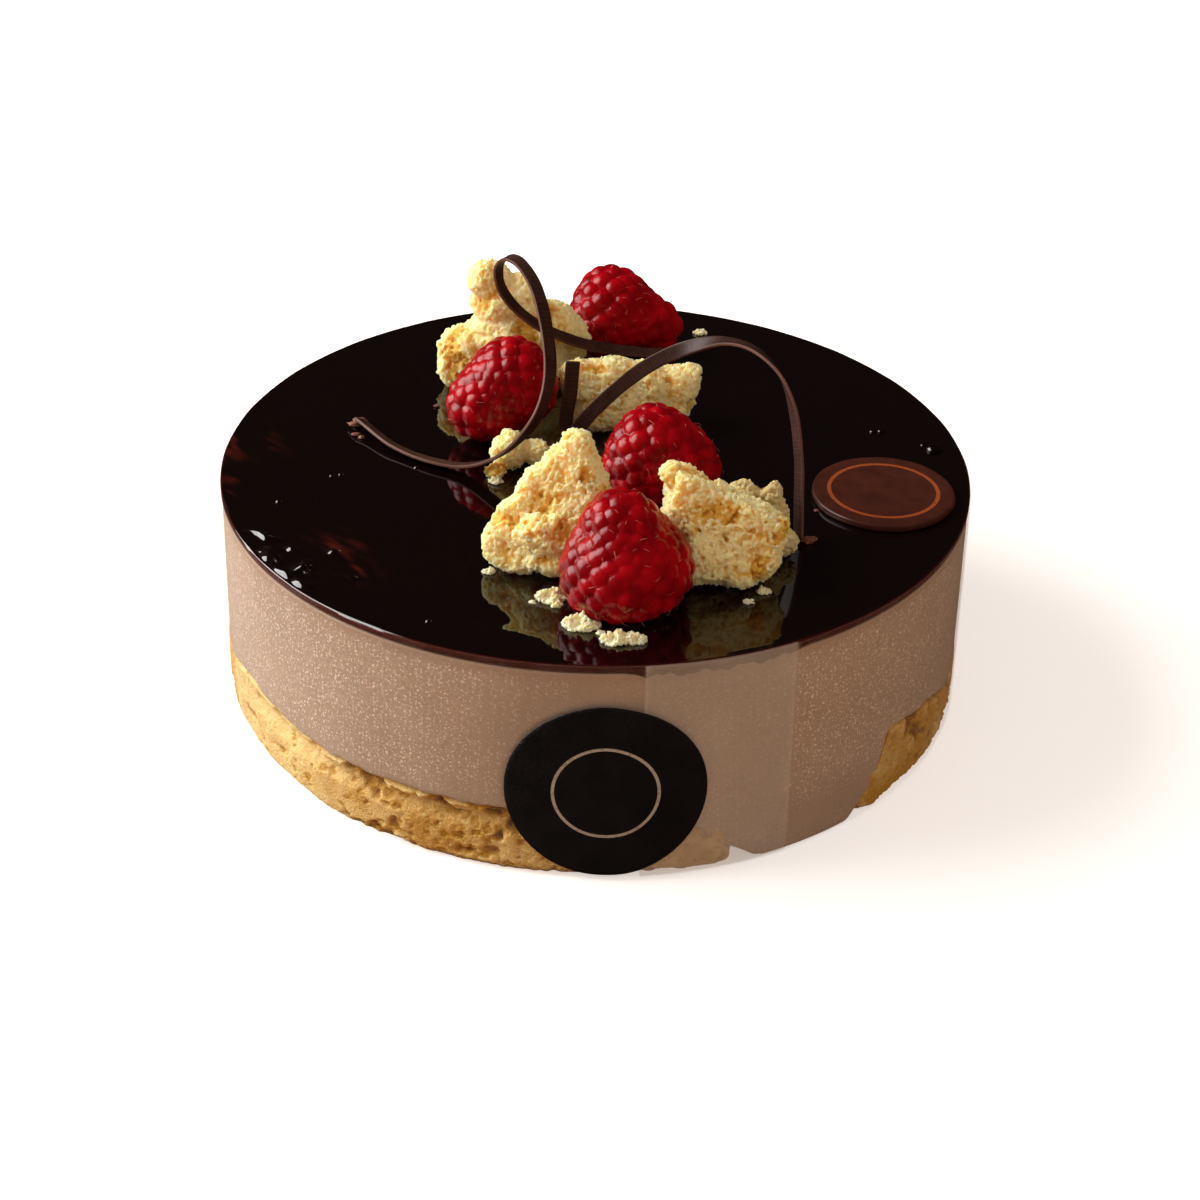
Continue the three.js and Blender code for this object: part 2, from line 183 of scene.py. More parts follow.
def lumps(x, y, z, size):
    """Sum of three sine waves across each other: lumps of about that size, from -1 to 1."""
    k = np.pi / size

    def wave(a, b, c, phase):
        return np.sin(k * (a * x + b * y + c * z) + phase)

    return (wave(1, 0.6, -0.3, 0.4) * wave(-0.5, 1, 0.4, 2.1) + wave(0.3, -0.4, 1, 4.2)) / 2


def cell_number(cell, seed):
    """A number from 0 to 1 for each cell of a lattice: its three counts, stirred together."""
    c = (cell + 4096).astype(np.uint64)
    h = c[..., 0] * 73856093 ^ c[..., 1] * 19349663 ^ c[..., 2] * 83492791 ^ np.uint64(seed * 2654435)
    h = (h ^ (h >> np.uint64(13))) * np.uint64(1274126177) & np.uint64(0xFFFFFFFF)
    h = (h ^ (h >> np.uint64(16))) * np.uint64(2246822519) & np.uint64(0xFFFFFFFF)
    return (h ^ (h >> np.uint64(15))).astype(float) / 4294967296.0


def drift(p, size, seed):
    """Smooth numbers from -1 to 1: one for each corner of a lattice, eased from corner to corner."""
    q = p / size
    cell = np.floor(q)
    t = q - cell
    w = t * t * (3 - 2 * t)
    total = 0.0
    for corner in np.ndindex(2, 2, 2):
        share = np.prod(np.where(np.array(corner) == 1, w, 1 - w), -1)
        total = total + share * cell_number(cell.astype(int) + corner, seed)
    return 2 * total - 1


def nearest_seed(p, size, seed):
    """Distance in mm to the nearest of seeds scattered one to a cell, and that seed's own number."""
    q = p / size
    cell = np.floor(q).astype(int)
    best = np.full(p.shape[:-1], 9.0)
    number = np.zeros(p.shape[:-1])
    for offset in np.ndindex(3, 3, 3):
        near = cell + offset - 1
        place = near + np.stack([cell_number(near, seed + k) for k in range(3)], -1)
        away = np.linalg.norm(place - q, axis=-1)
        closer = away < best
        best = np.where(closer, away, best)
        number = np.where(closer, cell_number(near, seed + 7), number)
    return best * size, number


# %% [markdown]
# ## Finishes
# Every material is made of Blender's shader nodes and reads Object coordinates, in metres, or a number
# that was stored with the mesh when its shape was worked out, such as how deep in a pore a point lies.
# A few helpers keep that short. Colours are given as a picture shows them, from 0 to 255.

# %% Helpers for materials
tree = None     # the node tree that the helpers add to


def shown(red, green, blue):
    """A colour as a picture shows it, 0 to 255, as the linear colour that Blender reckons in."""
    c = np.array([red, green, blue]) / 255
    linear = np.where(c <= 0.04045, c / 12.92, ((c + 0.055) / 1.055) ** 2.4)
    return (*linear.tolist(), 1.0)


def filling(owner):
    """The material or world, emptied. From now on the helpers add to its node tree."""
    global tree
    owner.use_nodes = True
    tree = owner.node_tree
    tree.nodes.clear()
    return owner


def add(kind, values=None, **settings):
    """A new shader node with those settings, and input values by socket name or number."""
    node = tree.nodes.new("ShaderNode" + kind)
    for key, value in settings.items():
        setattr(node, key, value)
    for key, value in (values or {}).items():
        if isinstance(value, bpy.types.NodeSocket):
            tree.links.new(value, node.inputs[key])
        else:
            node.inputs[key].default_value = value
    return node


def shaded(material, **values):
    """The material, with a Principled shader that has those values by socket name."""
    shader = add("BsdfPrincipled", {key.replace("_", " "): value for key, value in values.items()})
    add("OutputMaterial", {"Surface": shader.outputs[0]})
    return material


def new_finish(name):
    """A material to fill with nodes."""
    return filling(bpy.data.materials.new(name))


def here():
    """The point's own place, in metres."""
    return add("TexCoord").outputs["Object"]


def mark(name):
    """The number of that name that was stored with the mesh."""
    return add("Attribute", attribute_name=name).outputs["Fac"]


def noise(size, detail=2.0, roughness=0.5, place=None):
    """Cloudy numbers about 0.5, in blots of that size in mm."""
    values = {"Vector": place or here(), "Scale": 1 / (size * MM), "Detail": detail, "Roughness": roughness}
    return add("TexNoise", values).outputs["Fac"]


def seeds(size, feature="F1"):
    """Voronoi cells of that size in mm: their distances and colours."""
    return add("TexVoronoi", {"Vector": here(), "Scale": 1 / (size * MM)}, feature=feature).outputs


def reach(value, low, high, to_low=0.0, to_high=1.0, smooth=True):
    """The value's range from low to high spread over to_low to to_high, and held outside it."""
    kind = "SMOOTHSTEP" if smooth else "LINEAR"
    values = {"Value": value, 1: low, 2: high, 3: to_low, 4: to_high}
    return add("MapRange", values, interpolation_type=kind).outputs[0]


def blend(share, a, b):
    """Colour a where share is 0, b where it is 1."""
    return add("Mix", {0: share, 6: a, 7: b}, data_type="RGBA").outputs[2]


def calc(how, a, b=0.5):
    """One sum with two numbers."""
    return add("Math", {0: a, 1: b}, operation=how).outputs[0]


def times(a, b):
    """a * b"""
    return calc("MULTIPLY", a, b)


def bump(height, depth, strength=1.0, under=None):
    """A normal for relief of that depth in mm where height goes from 0 to 1, over what lies under it."""
    values = {"Height": height, "Distance": depth * MM, "Strength": strength}
    if under is not None:
        values["Normal"] = under
    return add("Bump", values).outputs[0]


def dressed(piece, material, slot, *nodes):
    """The piece takes the material, rides with the cake and stands for those CAD nodes."""
    piece.data.materials.append(material)
    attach(piece, "root")
    if nodes:
        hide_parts(*nodes)
    print(f"{piece.name}: {material.name}, instead of {nodes[0] if nodes else 'nothing'}")


# %% [markdown]
# ## Floor and light
# The cake stands on a plain pale floor. Soft window light comes from the left and slightly behind. A
# weak warm glow fills the other side. The room above is dark, because a mirror glaze shows whatever is
# above it.

# %% Floor
def pale_floor():
    """A flat square, 5 m wide, centred under the cake: white to look at, warm where its light spreads."""
    half = 2.5
    corners = [(-half, -half, 0), (half, -half, 0), (half, half, 0), (-half, half, 0)]
    mesh = bpy.data.meshes.new("floor")
    mesh.from_pydata(corners, [], [(0, 1, 2, 3)])
    material = new_finish("pale floor")
    path = add("LightPath").outputs
    seen = path["Is Camera Ray"]
    bounced = blend(path["Is Glossy Ray"], shown(186, 146, 104), shown(52, 42, 34))
    mesh.materials.append(shaded(
        material, Base_Color=blend(seen, bounced, shown(240, 239, 237)), Roughness=0.9,
        Specular_IOR_Level=0.1, Emission_Strength=times(seen, 0.55),
        Emission_Color=(1.0, 0.99, 0.975, 1.0)))
    linked("floor", mesh)
    print("floor:", 2 * half, "m wide")


pale_floor()


# %% Lights
AIM = (0, 0, 0.03)      # the middle of the cake, in metres


def soft_light(name, place, size, watts, colour, mirrored=True):
    """A square lamp of that size in metres, aimed at the middle of the cake, that gloss may mirror."""
    lamp = bpy.data.lights.new(name, "AREA")
    lamp.size, lamp.energy, lamp.color = size, watts, colour
    back = unit(np.array(place) - AIM)
    side = unit(np.cross((0, 0, 1), back))
    turn = Matrix(np.stack([side, np.cross(back, side), back], 1).tolist()).to_4x4()
    turn.translation = place
    holder = linked(name, lamp)
    holder.matrix_world = turn
    holder.visible_glossy = mirrored
    print(f"{name}: {watts} W from {place}")


soft_light("window", (-0.94, 0.15, 0.60), 0.95, 23.0, (1.0, 0.98, 0.95))
soft_light("glow", (0.65, -0.85, 0.65), 1.2, 4.0, (1.0, 0.8, 0.64), mirrored=False)


def dark_room():
    """White to look at, dim for light that spreads, and darker for gloss, though less so at the left."""
    world = filling(bpy.data.worlds.new("room"))
    way = add("SeparateXYZ", {0: add("TexCoord").outputs["Generated"]}).outputs[0]
    path = add("LightPath").outputs
    seen = path["Is Camera Ray"]
    glimmer = reach(way, -0.22, -0.8, 0.018, 0.16)
    level = calc("MAXIMUM", reach(path["Is Glossy Ray"], 0.0, 1.0, 0.31, glimmer, smooth=False), seen)
    colour = blend(seen, (1.0, 0.78, 0.64, 1.0), (1.0, 1.0, 1.0, 1.0))
    back = add("Background", {"Color": colour, "Strength": level})
    add("OutputWorld", {0: back.outputs[0]})
    bpy.context.scene.world = world


dark_room()
bpy.context.scene.view_settings.view_transform = "Standard"

# %% [markdown]
# ## The cake's own measures
# Several pieces share these dimensions, in millimetres, and nearly all of them shape the CAD solids too.
# A bearing counts degrees round the cake from its front, positive towards the right.

# %% Measures shared by the layers
GLAZE_TOP, GLAZE_UNDER, MOUSSE_TOP, NECK_RADIUS = 49.5, 48.3, 48.0, 79.05
GLAZE_RADIUS, LIP = 79.9, 0.35      # the lip is how far the glaze's edge hangs down over the mousse
SPONGE_TOP, SPONGE_MIDDLE, JOIN = 9.5, 13.0, 0.15
FILM_THICKNESS, FILM_FOOT, FILM_TOP = 0.25, 0.6, 49.4
FILM_OUTER_END, FILM_INNER_END, FILM_EASE, FILM_STEP = 7.5, 29.3, 8.0, 0.4
EDGE_KEYS = np.array([      # bearing and height of the mousse's lower edge
    [-76, 12.6], [-62, 16.3], [-37, 14.2], [-12, 14.5], [6, 13.5], [15.5, 10.3], [19, 5.2], [26, 0],
    [40, 0], [45.4, 4.7], [50, 17.4], [59, 15.3], [74, 10.4], [105, 14], [150, 12.5], [200, 15],
    [245, 12], [284, 12.6],
])


def around(radius, bearing, z):
    """Points at a radius and bearing: x is r sin b, y is -r cos b."""
    b = np.radians(bearing)
    return np.stack(np.broadcast_arrays(radius * np.sin(b), -radius * np.cos(b), z), -1)


def mousse_edge(bearing):
    """Height of the mousse's lower edge, eased from key to key round the cake."""
    at = -76 + np.mod(bearing + 76, 360)
    k = np.clip(np.searchsorted(EDGE_KEYS[:, 0], at, side="right"), 1, len(EDGE_KEYS) - 1)
    before, after = EDGE_KEYS[k - 1], EDGE_KEYS[k]
    return mix(before[..., 1], after[..., 1], ease(at, before[..., 0], after[..., 0]))


def film_radius(z):
    """The film's inside: 80.7 mm at the floor, 80 at its top edge."""
    return 80.7 - 0.7 * z / FILM_TOP


def signed(bearing):
    """The bearing from -180 to 180."""
    return np.mod(bearing + 180, 360) - 180


def seep(bearing):
    """How far the glaze has crept down between mousse and film: most at the front right."""
    at = signed(bearing)
    return 0.3 + between(at, 4, 9, 27, 32) * (0.8 + 0.4 * np.sin(1.1 * at) + 0.25 * np.sin(2.7 * at))


def rim_bearings(count, crowded=0.0):
    """Bearings all round; crowded makes them denser about -62 degrees, where the glaze is crinkled."""
    at = np.linspace(-242, 118, 3601)
    dense = 1 + crowded * bell(at + 62, 32)
    reached = np.concatenate([[0], np.cumsum((dense[1:] + dense[:-1]) / 2)])
    count = int(count * FINE)
    return np.interp(np.arange(count) / count, reached / reached[-1], at)


print("mousse edge at the front:", round(float(mousse_edge(0.0)), 1), "mm")

# %% [markdown]
# ## The sponge base
# Below the mousse a band of torn sponge shows through the film, about 15 mm high. It has pores and
# hollows deep enough to throw shadows, and a ragged foot. So its side is a dense grid of bearing and
# height, pressed inwards by pores, stretched hollows and crumbs. How deep each point lies is stored as a
# mark, together with a painted shade that changes with the bearing; the finish paints deep points golden
# and dark as shade, and the rest pale.


# %% Crumb relief
def crumb(p, seed):
    """Relief in mm, outwards, and depth from 0 to 1, of torn sponge at points p.

    Grains of about 1 mm stand out as domes; clumps of 2.3 mm lie at different depths, some torn out;
    small pores and long hollows press in."""
    bent = p + 0.5 * np.stack([drift(p, 1.3, seed + k) for k in (1, 2, 3)], -1)
    grain = dome(nearest_seed(bent, 1.0, seed)[0], 0.7)
    away, own = nearest_seed(bent, 2.3, seed + 20)
    step = np.clip(own - 0.45, 0, 1) * ease(1.5 - away, 0.0, 0.7)
    away, own = nearest_seed(bent, 1.5, seed + 40)
    pin = dome(away, 0.3 + 0.4 * own)
    hollow = ease(drift(p * (1, 1, 1.8), 6.0, seed + 60) + 0.4 * drift(p, 2.1, seed + 61), 0.25, 0.8)
    relief = 0.5 * grain - 1.0 * step - 0.25 * pin - 1.8 * hollow + 0.25 * drift(p, 0.9, seed + 80)
    depth = np.clip(0.9 * step + 0.2 * pin + 0.7 * hollow - 0.25 * grain, 0, 1)
    return relief, depth


# %% Sponge base
def sponge_radius(bearing):
    """80 mm where the base shows, 72 where the mousse runs down in front of it."""
    torn = 0.6 * lumps(bearing, 0, 0, 11) + 0.3 * lumps(0, bearing, 0, 5)
    return mix(72.0, 80.2 + 0.5 * torn, ease(mousse_edge(bearing), 0.5, 5.5))


def base_side(bearing, share):
    """Radius and height at a share of the side's height, with its foot and its groove below the mousse."""
    groove = between(signed(bearing), -66, -52, -16, -6) * bell(share - 0.8, 0.13)
    inset = 0.3 + 1.2 * (1 - ease(share, 0.0, 0.14)) + 2.0 * groove + 1.2 * ease(share, 0.95, 1.0)
    height = share * (np.maximum(mousse_edge(bearing), SPONGE_TOP) - JOIN)
    return sponge_radius(bearing) - inset, height


def make_base():
    """The base as a grid: underside, torn side from floor to mousse, and top."""
    bearing = rim_bearings(1100)[None]
    at = signed(bearing)
    share = np.linspace(0, 1, int(64 * FINE))[:, None]
    radius, height = base_side(bearing, share)
    side = around(radius, bearing, height)
    relief, depth = crumb(side, 5)
    edge = between(share, 0.0, 0.1, 0.97, 1.0)
    pressed = between(at, -84, -66, -52, -38)
    relief = mix(0.4, 0.8, edge) * (1 - 0.65 * pressed) * relief - 0.25 * np.abs(drift(side, 7, 9))
    radius = np.minimum(radius + relief + 0.5, film_radius(height) - 0.12)
    height = np.maximum(height + (1 - edge) * (share < 0.5) * np.abs(0.5 * relief), 0)
    height[0] = 0
    rows = [around(r + 0 * radius[:1], bearing, 0.0) for r in (0, 30, 60, radius[:1] - 2.5)]
    rows.append(around(radius, bearing, height))
    rows += [around(mix(radius[-1:], 0, k), bearing, mix(height[-1:], SPONGE_MIDDLE, k)) for k in (0.2, 0.6, 1)]
    points = np.concatenate(rows)
    # the mark also rises by bearing: as painted shade at the far left end (bearings -110 to -60), a little
    # round the right (40 to 110), and all round except where the side is pressed against the film
    golden = 0.14 * between(at, 40, 48, 90, 110) + 0.3 * between(at, -110, -95, -76, -60)
    golden = golden + 0.36 * (1 - pressed) * (0.7 + 0.3 * drift(side, 6, 8))
    deep = np.zeros(points.shape[:2])
    deep[4:4 + len(depth)] = np.clip(depth + golden, 0, 1)
    return skin("torn_base", points, hollow=deep)


base = make_base()


# %% Sponge finish
def sponge_finish(name, pale, golden, dark, glow=0.6, spread=0.0022):
    """Pale crumb, made golden and then dark where its hollow mark is high, as painted shade in hollows, with
    fine sugary grains and much light inside.
    """
    material = new_finish(name)
    deep = mark("hollow")
    # painted shade: the higher the hollow mark, the more golden the crumb, and past 0.5 also darker; on the
    # base and the torn pieces the mark is depth, on the crumbs random tone
    warmth = calc("ADD", reach(noise(6, 3), 0.3, 0.7, -0.15, 0.3), reach(deep, 0.05, 0.7))
    warmth = calc("ADD", warmth, reach(noise(0.8, 3), 0.35, 0.65, -0.05, 0.08))
    colour = blend(reach(warmth, 0.0, 0.9), shown(*pale), shown(*golden))
    colour = blend(reach(deep, 0.5, 1.0, 0.0, 0.8), colour, shown(*dark))
    sugar = calc("SUBTRACT", noise(0.3), seeds(0.5)["Distance"])
    return shaded(
        material, Base_Color=colour, Roughness=0.6, Specular_IOR_Level=0.3, Normal=bump(sugar, 0.22, 0.8),
        Subsurface_Weight=glow, Subsurface_Radius=(1.0, 0.7, 0.32), Subsurface_Scale=spread)


base_crumb = sponge_finish("base crumb", (230, 204, 138), (190, 144, 42), (116, 74, 10), glow=0.65)
dressed(base, base_crumb, "sponge", "sponge_base")

# %% [markdown]
# ## The mousse
# The mousse fills the ring above the base, and runs down to the floor at the front right. Its wall is
# smooth from the film, so its shape is a plain turned surface, with a rounded, slightly wandering
# lower edge. Its finish is creamy and soft in the light, and beaded with pale frost that sits under the
# film in patches. The patches are stored as a mark.


# %% Mousse
WALL_GAP, EDGE_ROUND = 0.35, 0.7        # between mousse and film, and the rounding of its lower edge


def make_mousse():
    """The mousse as a grid: from the pole under it, out to its edge, up the wall and over the top."""
    bearing = rim_bearings(720)[None]
    zero = 0 * bearing
    smooth_edge, rim = mousse_edge(bearing), around(80.0, bearing, zero)
    edge = np.maximum(smooth_edge + 0.35 * drift(rim, 3.5, 31) + 0.2 * drift(rim, 1.2, 32), 0.0)
    edge = np.where(smooth_edge <= 0, 0.0, edge)
    inside = np.minimum(sponge_radius(bearing) + 0.3, 78.6)
    under = np.maximum(smooth_edge, SPONGE_TOP) + JOIN
    middle = SPONGE_MIDDLE + 2 * JOIN
    top = MOUSSE_TOP - LIP - seep(bearing)
    wall = film_radius(edge) - WALL_GAP
    rows = [(zero, zero + middle), (inside * 0.5, mix(middle, under, 0.5)), (inside - 2.9, under),
            (inside + 0.05, under - 0.05),
            (np.minimum(inside + 0.1, wall - 1.2), np.minimum(edge, under - 0.1))]
    rows += [(wall - 1.0 + np.sin(turn), edge + EDGE_ROUND * (1 - np.cos(turn)))
             for turn in np.radians([0, 22, 45, 67, 90])]
    heights = [mix(edge + EDGE_ROUND, top, share) for share in np.linspace(0, 1, int(46 * FINE))[1:]]
    rows += [(film_radius(height) - WALL_GAP, height) for height in heights]
    rows += [(zero + NECK_RADIUS, top + 0.6), (zero + NECK_RADIUS - 0.05, zero + MOUSSE_TOP)]
    rows += [(zero + r, zero + MOUSSE_TOP) for r in (60, 30, 0)]
    radius, height = (np.concatenate(parts) for parts in zip(*rows))
    points = around(radius, bearing, height)
    at = signed(bearing)
    left = between(at, -100, -80, -36, 4) * between(height, 12, 22, 45, 47.5)
    right = 0.7 * between(at, 28.5, 31, 74, 86) * between(height, 6, 18, 45.5, 47.5)
    double = 0.35 * between(at, 7, 9, 28.5, 31) * (1 - ease(height, 44, 47))
    behind = 0.6 * (np.abs(at) > 90) * ease(drift(points, 24, 35), -0.2, 0.5)
    frost = np.clip(0.12 + left + right + double + behind + 0.2 * drift(points, 6.5, 36), 0, 1)
    return skin("mousse_round", points, frost=frost, high=height)


mousse = make_mousse()


# %% Mousse finish
def mousse_finish():
    """Milk chocolate cream: satin, a little light inside, beaded with frost where the mark says so."""
    material = new_finish("mousse")
    cream = blend(reach(noise(16, 3), 0.3, 0.7), shown(174, 156, 142), shown(182, 164, 149))
    fine = noise(0.45, 3, 0.6)
    cream = blend(reach(fine, 0.3, 0.7, 0.0, 0.22), cream, shown(146, 122, 105))
    frost, bead = mark("frost"), 0.0
    for size, most in ((0.8, 0.46), (0.5, 0.6)):
        cell = seeds(size)
        dot = calc("SUBTRACT", reach(cell["Color"], 0.25, 1.0, 0.0, most, smooth=False), cell["Distance"])
        bead = calc("MAXIMUM", reach(dot, 0.0, 0.1), bead)
    bead = times(bead, reach(frost, 0.0, 0.9, smooth=False))
    vein = reach(seeds(1.1, "DISTANCE_TO_EDGE")["Distance"], 0.0, 0.12, 1.0, 0.0)
    vein = times(vein, reach(frost, 0.2, 1.0, 0.0, 0.45))
    cream = blend(times(bead, 0.8), cream, shown(248, 241, 238))
    cream = blend(vein, cream, shown(216, 194, 172))
    cream = blend(reach(mark("high"), 44.0, 47.0, 0.0, 0.35), cream, shown(158, 124, 100))
    return shaded(
        material, Base_Color=cream, Roughness=0.42, Normal=bump(calc("ADD", bead, times(fine, 0.6)), 0.08, 0.7),
        Subsurface_Weight=0.15, Subsurface_Radius=(1.0, 0.6, 0.4), Subsurface_Scale=0.0015)


dressed(mousse, mousse_finish(), "mousse", "mousse")

# %% [markdown]
# ## The mirror glaze
# A poured glaze is flat to a few hundredths of a millimetre, and its mirror shows every deviation. So
# its top is a dense grid with real relief: a faint swell left by the spatula, crinkles near the left
# rim, and waves at the front. It is near black, but where it thins out, at the rim and in the crinkles,
# it glows dark red. That thinness is a mark.

# %% Glaze
WRINKLES = [        # x and y of each one's start and end
    (-69.1, -33.3, -64.2, -36.7), (-66.3, -41.9, -61.6, -45.6), (-61.2, -39.7, -58.9, -41.6),
    (-58.7, -48.5, -55.1, -45.3), (-58.7, -47, -54.7, -50.6), (-58.3, -52.2, -55.3, -55.4),
    (-63.6, -42.4, -64.8, -39.8), (-61.9, -48.4, -59.9, -50.8), (-52.6, -41.3, -50.4, -42.9),
    (-49.6, -50.2, -46.6, -51.6)]
THIN_SPOTS = [(-76.5, 3.5, 6.0), (-52, -41, 5.5), (-46.5, -48, 3.5), (-78, -14, 4.0)]     # x, y, width
SOFT_RIM = [(-33, 3.6, 0.9), (-72.5, 2.2, 0.9), (-60, 1.5, 0.3)]     # bearing, half width, mm more


def glaze_relief(x, y):
    """Height in mm over the flat: broad swells, faint spatula arcs, front waves, and short wrinkles.

    A wrinkle's height falls off from its line as a bell 0.85 mm wide."""
    p = np.stack([x, y, 0 * x], -1)
    ring = np.hypot(x + 42, y + 30)
    relief = 0.05 * drift(p, 21, 41) + 0.02 * drift(p, 8, 42) + 0.02 * np.sin(ring * 0.55) * bell(ring - 26, 16)
    relief = relief + 0.2 * drift(p * (0.5, 1, 1), 5, 47) * bell(y + 70, 8) * bell(x, 40)
    bend = np.stack([x + 1.2 * drift(p, 3, 43), y + 1.2 * drift(p, 3, 44)], -1)
    for x0, y0, x1, y1 in WRINKLES:
        start, way = np.array([x0, y0]), np.array([x1 - x0, y1 - y0])
        share = np.clip(((bend - start) @ way) / (way @ way), 0, 1)
        away = np.linalg.norm(bend - start - share[..., None] * way, axis=-1)
        relief = relief + 0.4 * (1 + np.sin(np.pi * share)) * bell(away, 0.85)
    return relief


def rim_rounding(bearing):
    """Width in mm of the rounded edge: about 0.1 all round, and more in three stretches at the left."""
    soft = sum(more * bell(signed(bearing) - middle, half) for middle, half, more in SOFT_RIM)
    return 0.07 + 0.05 * np.sin(bearing * 0.21) ** 2 + soft


def make_glaze():
    """The glaze as a grid: underside, lip down the neck, rounded rim, and a top with relief."""
    bearing = rim_bearings(620, 1.6)[None]
    lip = GLAZE_UNDER - LIP - seep(bearing)
    full = np.ones_like(bearing)
    rows = [around(r * full, bearing, GLAZE_UNDER) for r in (0, 40, NECK_RADIUS + 0.3)]
    rows.append(around((NECK_RADIUS + 0.3) * full, bearing, lip))
    rows += [around(r * full, bearing, mix(lip, GLAZE_TOP, k)) for r, k in ((79.7, -0.02), (79.88, 0.3))]
    radii = np.concatenate([GLAZE_RADIUS - 0.5 * (1 - np.cos(np.radians([0, 25, 50, 75]))),
                            79.25 - 79.25 * np.linspace(0, 1, int(150 * FINE)) ** 1.15])
    radius = radii[:, None] * full
    drop = 0.42 * ease(radius, GLAZE_RADIUS - rim_rounding(bearing), GLAZE_RADIUS) ** 2
    x, y, _ = np.moveaxis(around(radius, bearing, 0.0), -1, 0)
    relief = glaze_relief(x, y) * (1 - ease(radius, 78.6, 79.5))
    rows.append(around(radius, bearing, GLAZE_TOP - drop + relief))
    points = np.concatenate(rows)
    x, y, z = np.moveaxis(points, -1, 0)
    spots = np.max([bell(np.hypot(x - at_x, y - at_y), width) for at_x, at_y, width in THIN_SPOTS], 0)
    streaks = np.stack([0.75 * (x + y), 0.2 * (x - y), 0 * z], -1)
    broken = ease(drift(streaks, 2.2, 48) + 0.4 * drift(streaks, 0.9, 49), -0.1, 0.9)
    rim = ease(np.hypot(x, y), GLAZE_RADIUS - 0.3, GLAZE_RADIUS)
    return skin("mirror_glaze", points, thin=np.clip(spots * broken + 0.8 * rim, 0, 1))


glaze = make_glaze()


# %% Glaze finish
def glaze_finish():
    """Near black and mirror smooth, dark red where it is thin."""
    material = new_finish("mirror glaze")
    colour = blend(mark("thin"), (0.0035, 0.0012, 0.001, 1), (0.07, 0.008, 0.005, 1))
    return shaded(material, Base_Color=colour, Roughness=reach(noise(30), 0.35, 0.7, 0.03, 0.075), IOR=1.62)


glaze_gloss = glaze_finish()
dressed(glaze, glaze_gloss, "glaze", "glaze")

# %% [markdown]
# ## The film collar
# A strip of clear film is wound a full turn round the cake and overlaps itself at the front right. It
# is a thin rounded section carried round the cake. Where it lies double the mousse looks paler, so the
# film has a slight haze there. Clear film needs no refraction here: it lets light through unbent and
# adds gloss, which also keeps the mousse behind it well lit.


# %% Film collar
def film_lift(bearing):
    """Distance of the strip from the wall, counted from its outer end: one layer over the overlap."""
    return FILM_STEP * (1 - ease(bearing, FILM_INNER_END, FILM_INNER_END + FILM_EASE))


def make_film():
    """The strip: a thin upright section with round edges, carried from its outer to its inner end."""
    bearing = np.linspace(FILM_OUTER_END, 360 + FILM_INNER_END, int(760 * FINE))[:, None]
    half = FILM_THICKNESS / 2
    heights = FILM_FOOT + (FILM_TOP - FILM_FOOT) * np.linspace(0.004, 0.996, 12)
    outer = np.stack([half + 0 * heights, heights], -1)
    top = half * np.array([[0.6, 0], [-0.6, 0]])
    section = np.concatenate([outer, top + (0, FILM_TOP), outer[::-1] * (-1, 1), (0, FILM_FOOT) - top])
    z = section[None, :, 1] + 0 * bearing
    points = capped(around(film_radius(z) + film_lift(bearing) + half + section[:, 0], bearing, z))
    turn = np.concatenate([bearing[:1], bearing, bearing[-1:]])
    double = (turn < FILM_INNER_END) | (turn > 360 + FILM_OUTER_END)
    return skin("clear_collar", points, haze=double * 0.5 + 0 * points[..., 0])


film = make_film()


# %% Film finish
def film_finish():
    """See-through, with gloss that grows towards the edges of what is seen, and a pale haze by its mark."""
    material = new_finish("clear film")
    turned = add("LayerWeight", {"Blend": 0.5}).outputs["Facing"]
    share = calc("ADD", times(calc("POWER", turned, 4.0), 0.15), times(mark("haze"), 0.19))
    share = calc("ADD", share, reach(noise(14, 3), 0.35, 0.75, 0.004, 0.03))
    share = times(share, calc("SUBTRACT", 1.0, add("LightPath").outputs["Is Shadow Ray"]))
    clear = add("BsdfTransparent", {"Color": (0.985, 0.975, 0.965, 1)})
    gloss = add("BsdfPrincipled", {"Base Color": shown(232, 224, 214), "Roughness": 0.3, "IOR": 1.5})
    joined = add("MixShader", {0: share, 1: clear.outputs[0], 2: gloss.outputs[0]})
    add("OutputMaterial", {"Surface": joined.outputs[0]})
    return material


dressed(film, film_finish(), "film", "film_collar")

# %% [markdown]
# ## The round label
# A thin black sticker, 40 mm across, is stuck on the film over its outer end, so its right part stands
# a little proud. It is a disc bent round the wall. One mark holds the distance from its middle, for a
# plain thin ring printed on it, and another how far a point lies towards its pimpled upper left part.

# %% Label
LABEL_RADIUS, LABEL_THICKNESS, LABEL_BEARING, LABEL_HEIGHT = 19.7, 0.3, 2.5, 21.0


def turns(count):
    """Angles all round, in radians, as one row."""
    count = int(count * FINE)
    return np.radians(np.arange(count) * 360 / count)[None]


def make_label():
    """A disc as rings of points, front and back with a rounded edge, bent round the film."""
    turn = turns(180)
    radii = np.linspace(0, 1, int(26 * FINE)) * (LABEL_RADIUS - 0.1)
    ring = np.concatenate([radii, [LABEL_RADIUS], radii[::-1]])[:, None]
    level = np.concatenate([0 * radii + LABEL_THICKNESS, [LABEL_THICKNESS / 2], 0 * radii])[:, None]
    across, up = ring * np.sin(turn), ring * np.cos(turn)
    z = LABEL_HEIGHT + up
    wall = film_radius(z) + FILM_THICKNESS
    bearing = LABEL_BEARING + np.degrees(across / wall)
    onto = FILM_STEP * ease(bearing, FILM_OUTER_END - 6, FILM_OUTER_END - 0.5)
    points = around(wall + onto + 0.2 + level, bearing, z)
    return skin("round_label", points, away=np.hypot(across, up), slant=0.8 * up - 0.5 * across)


label = make_label()


# %% Label finish
def printed_ring(colour, ink, radius, half, broken):
    """The colour with a thin ring of ink printed on it, broken up where those numbers are below 1."""
    line = calc("LESS_THAN", calc("ABSOLUTE", calc("SUBTRACT", mark("away"), radius)), half)
    return blend(times(line, broken), colour, ink)


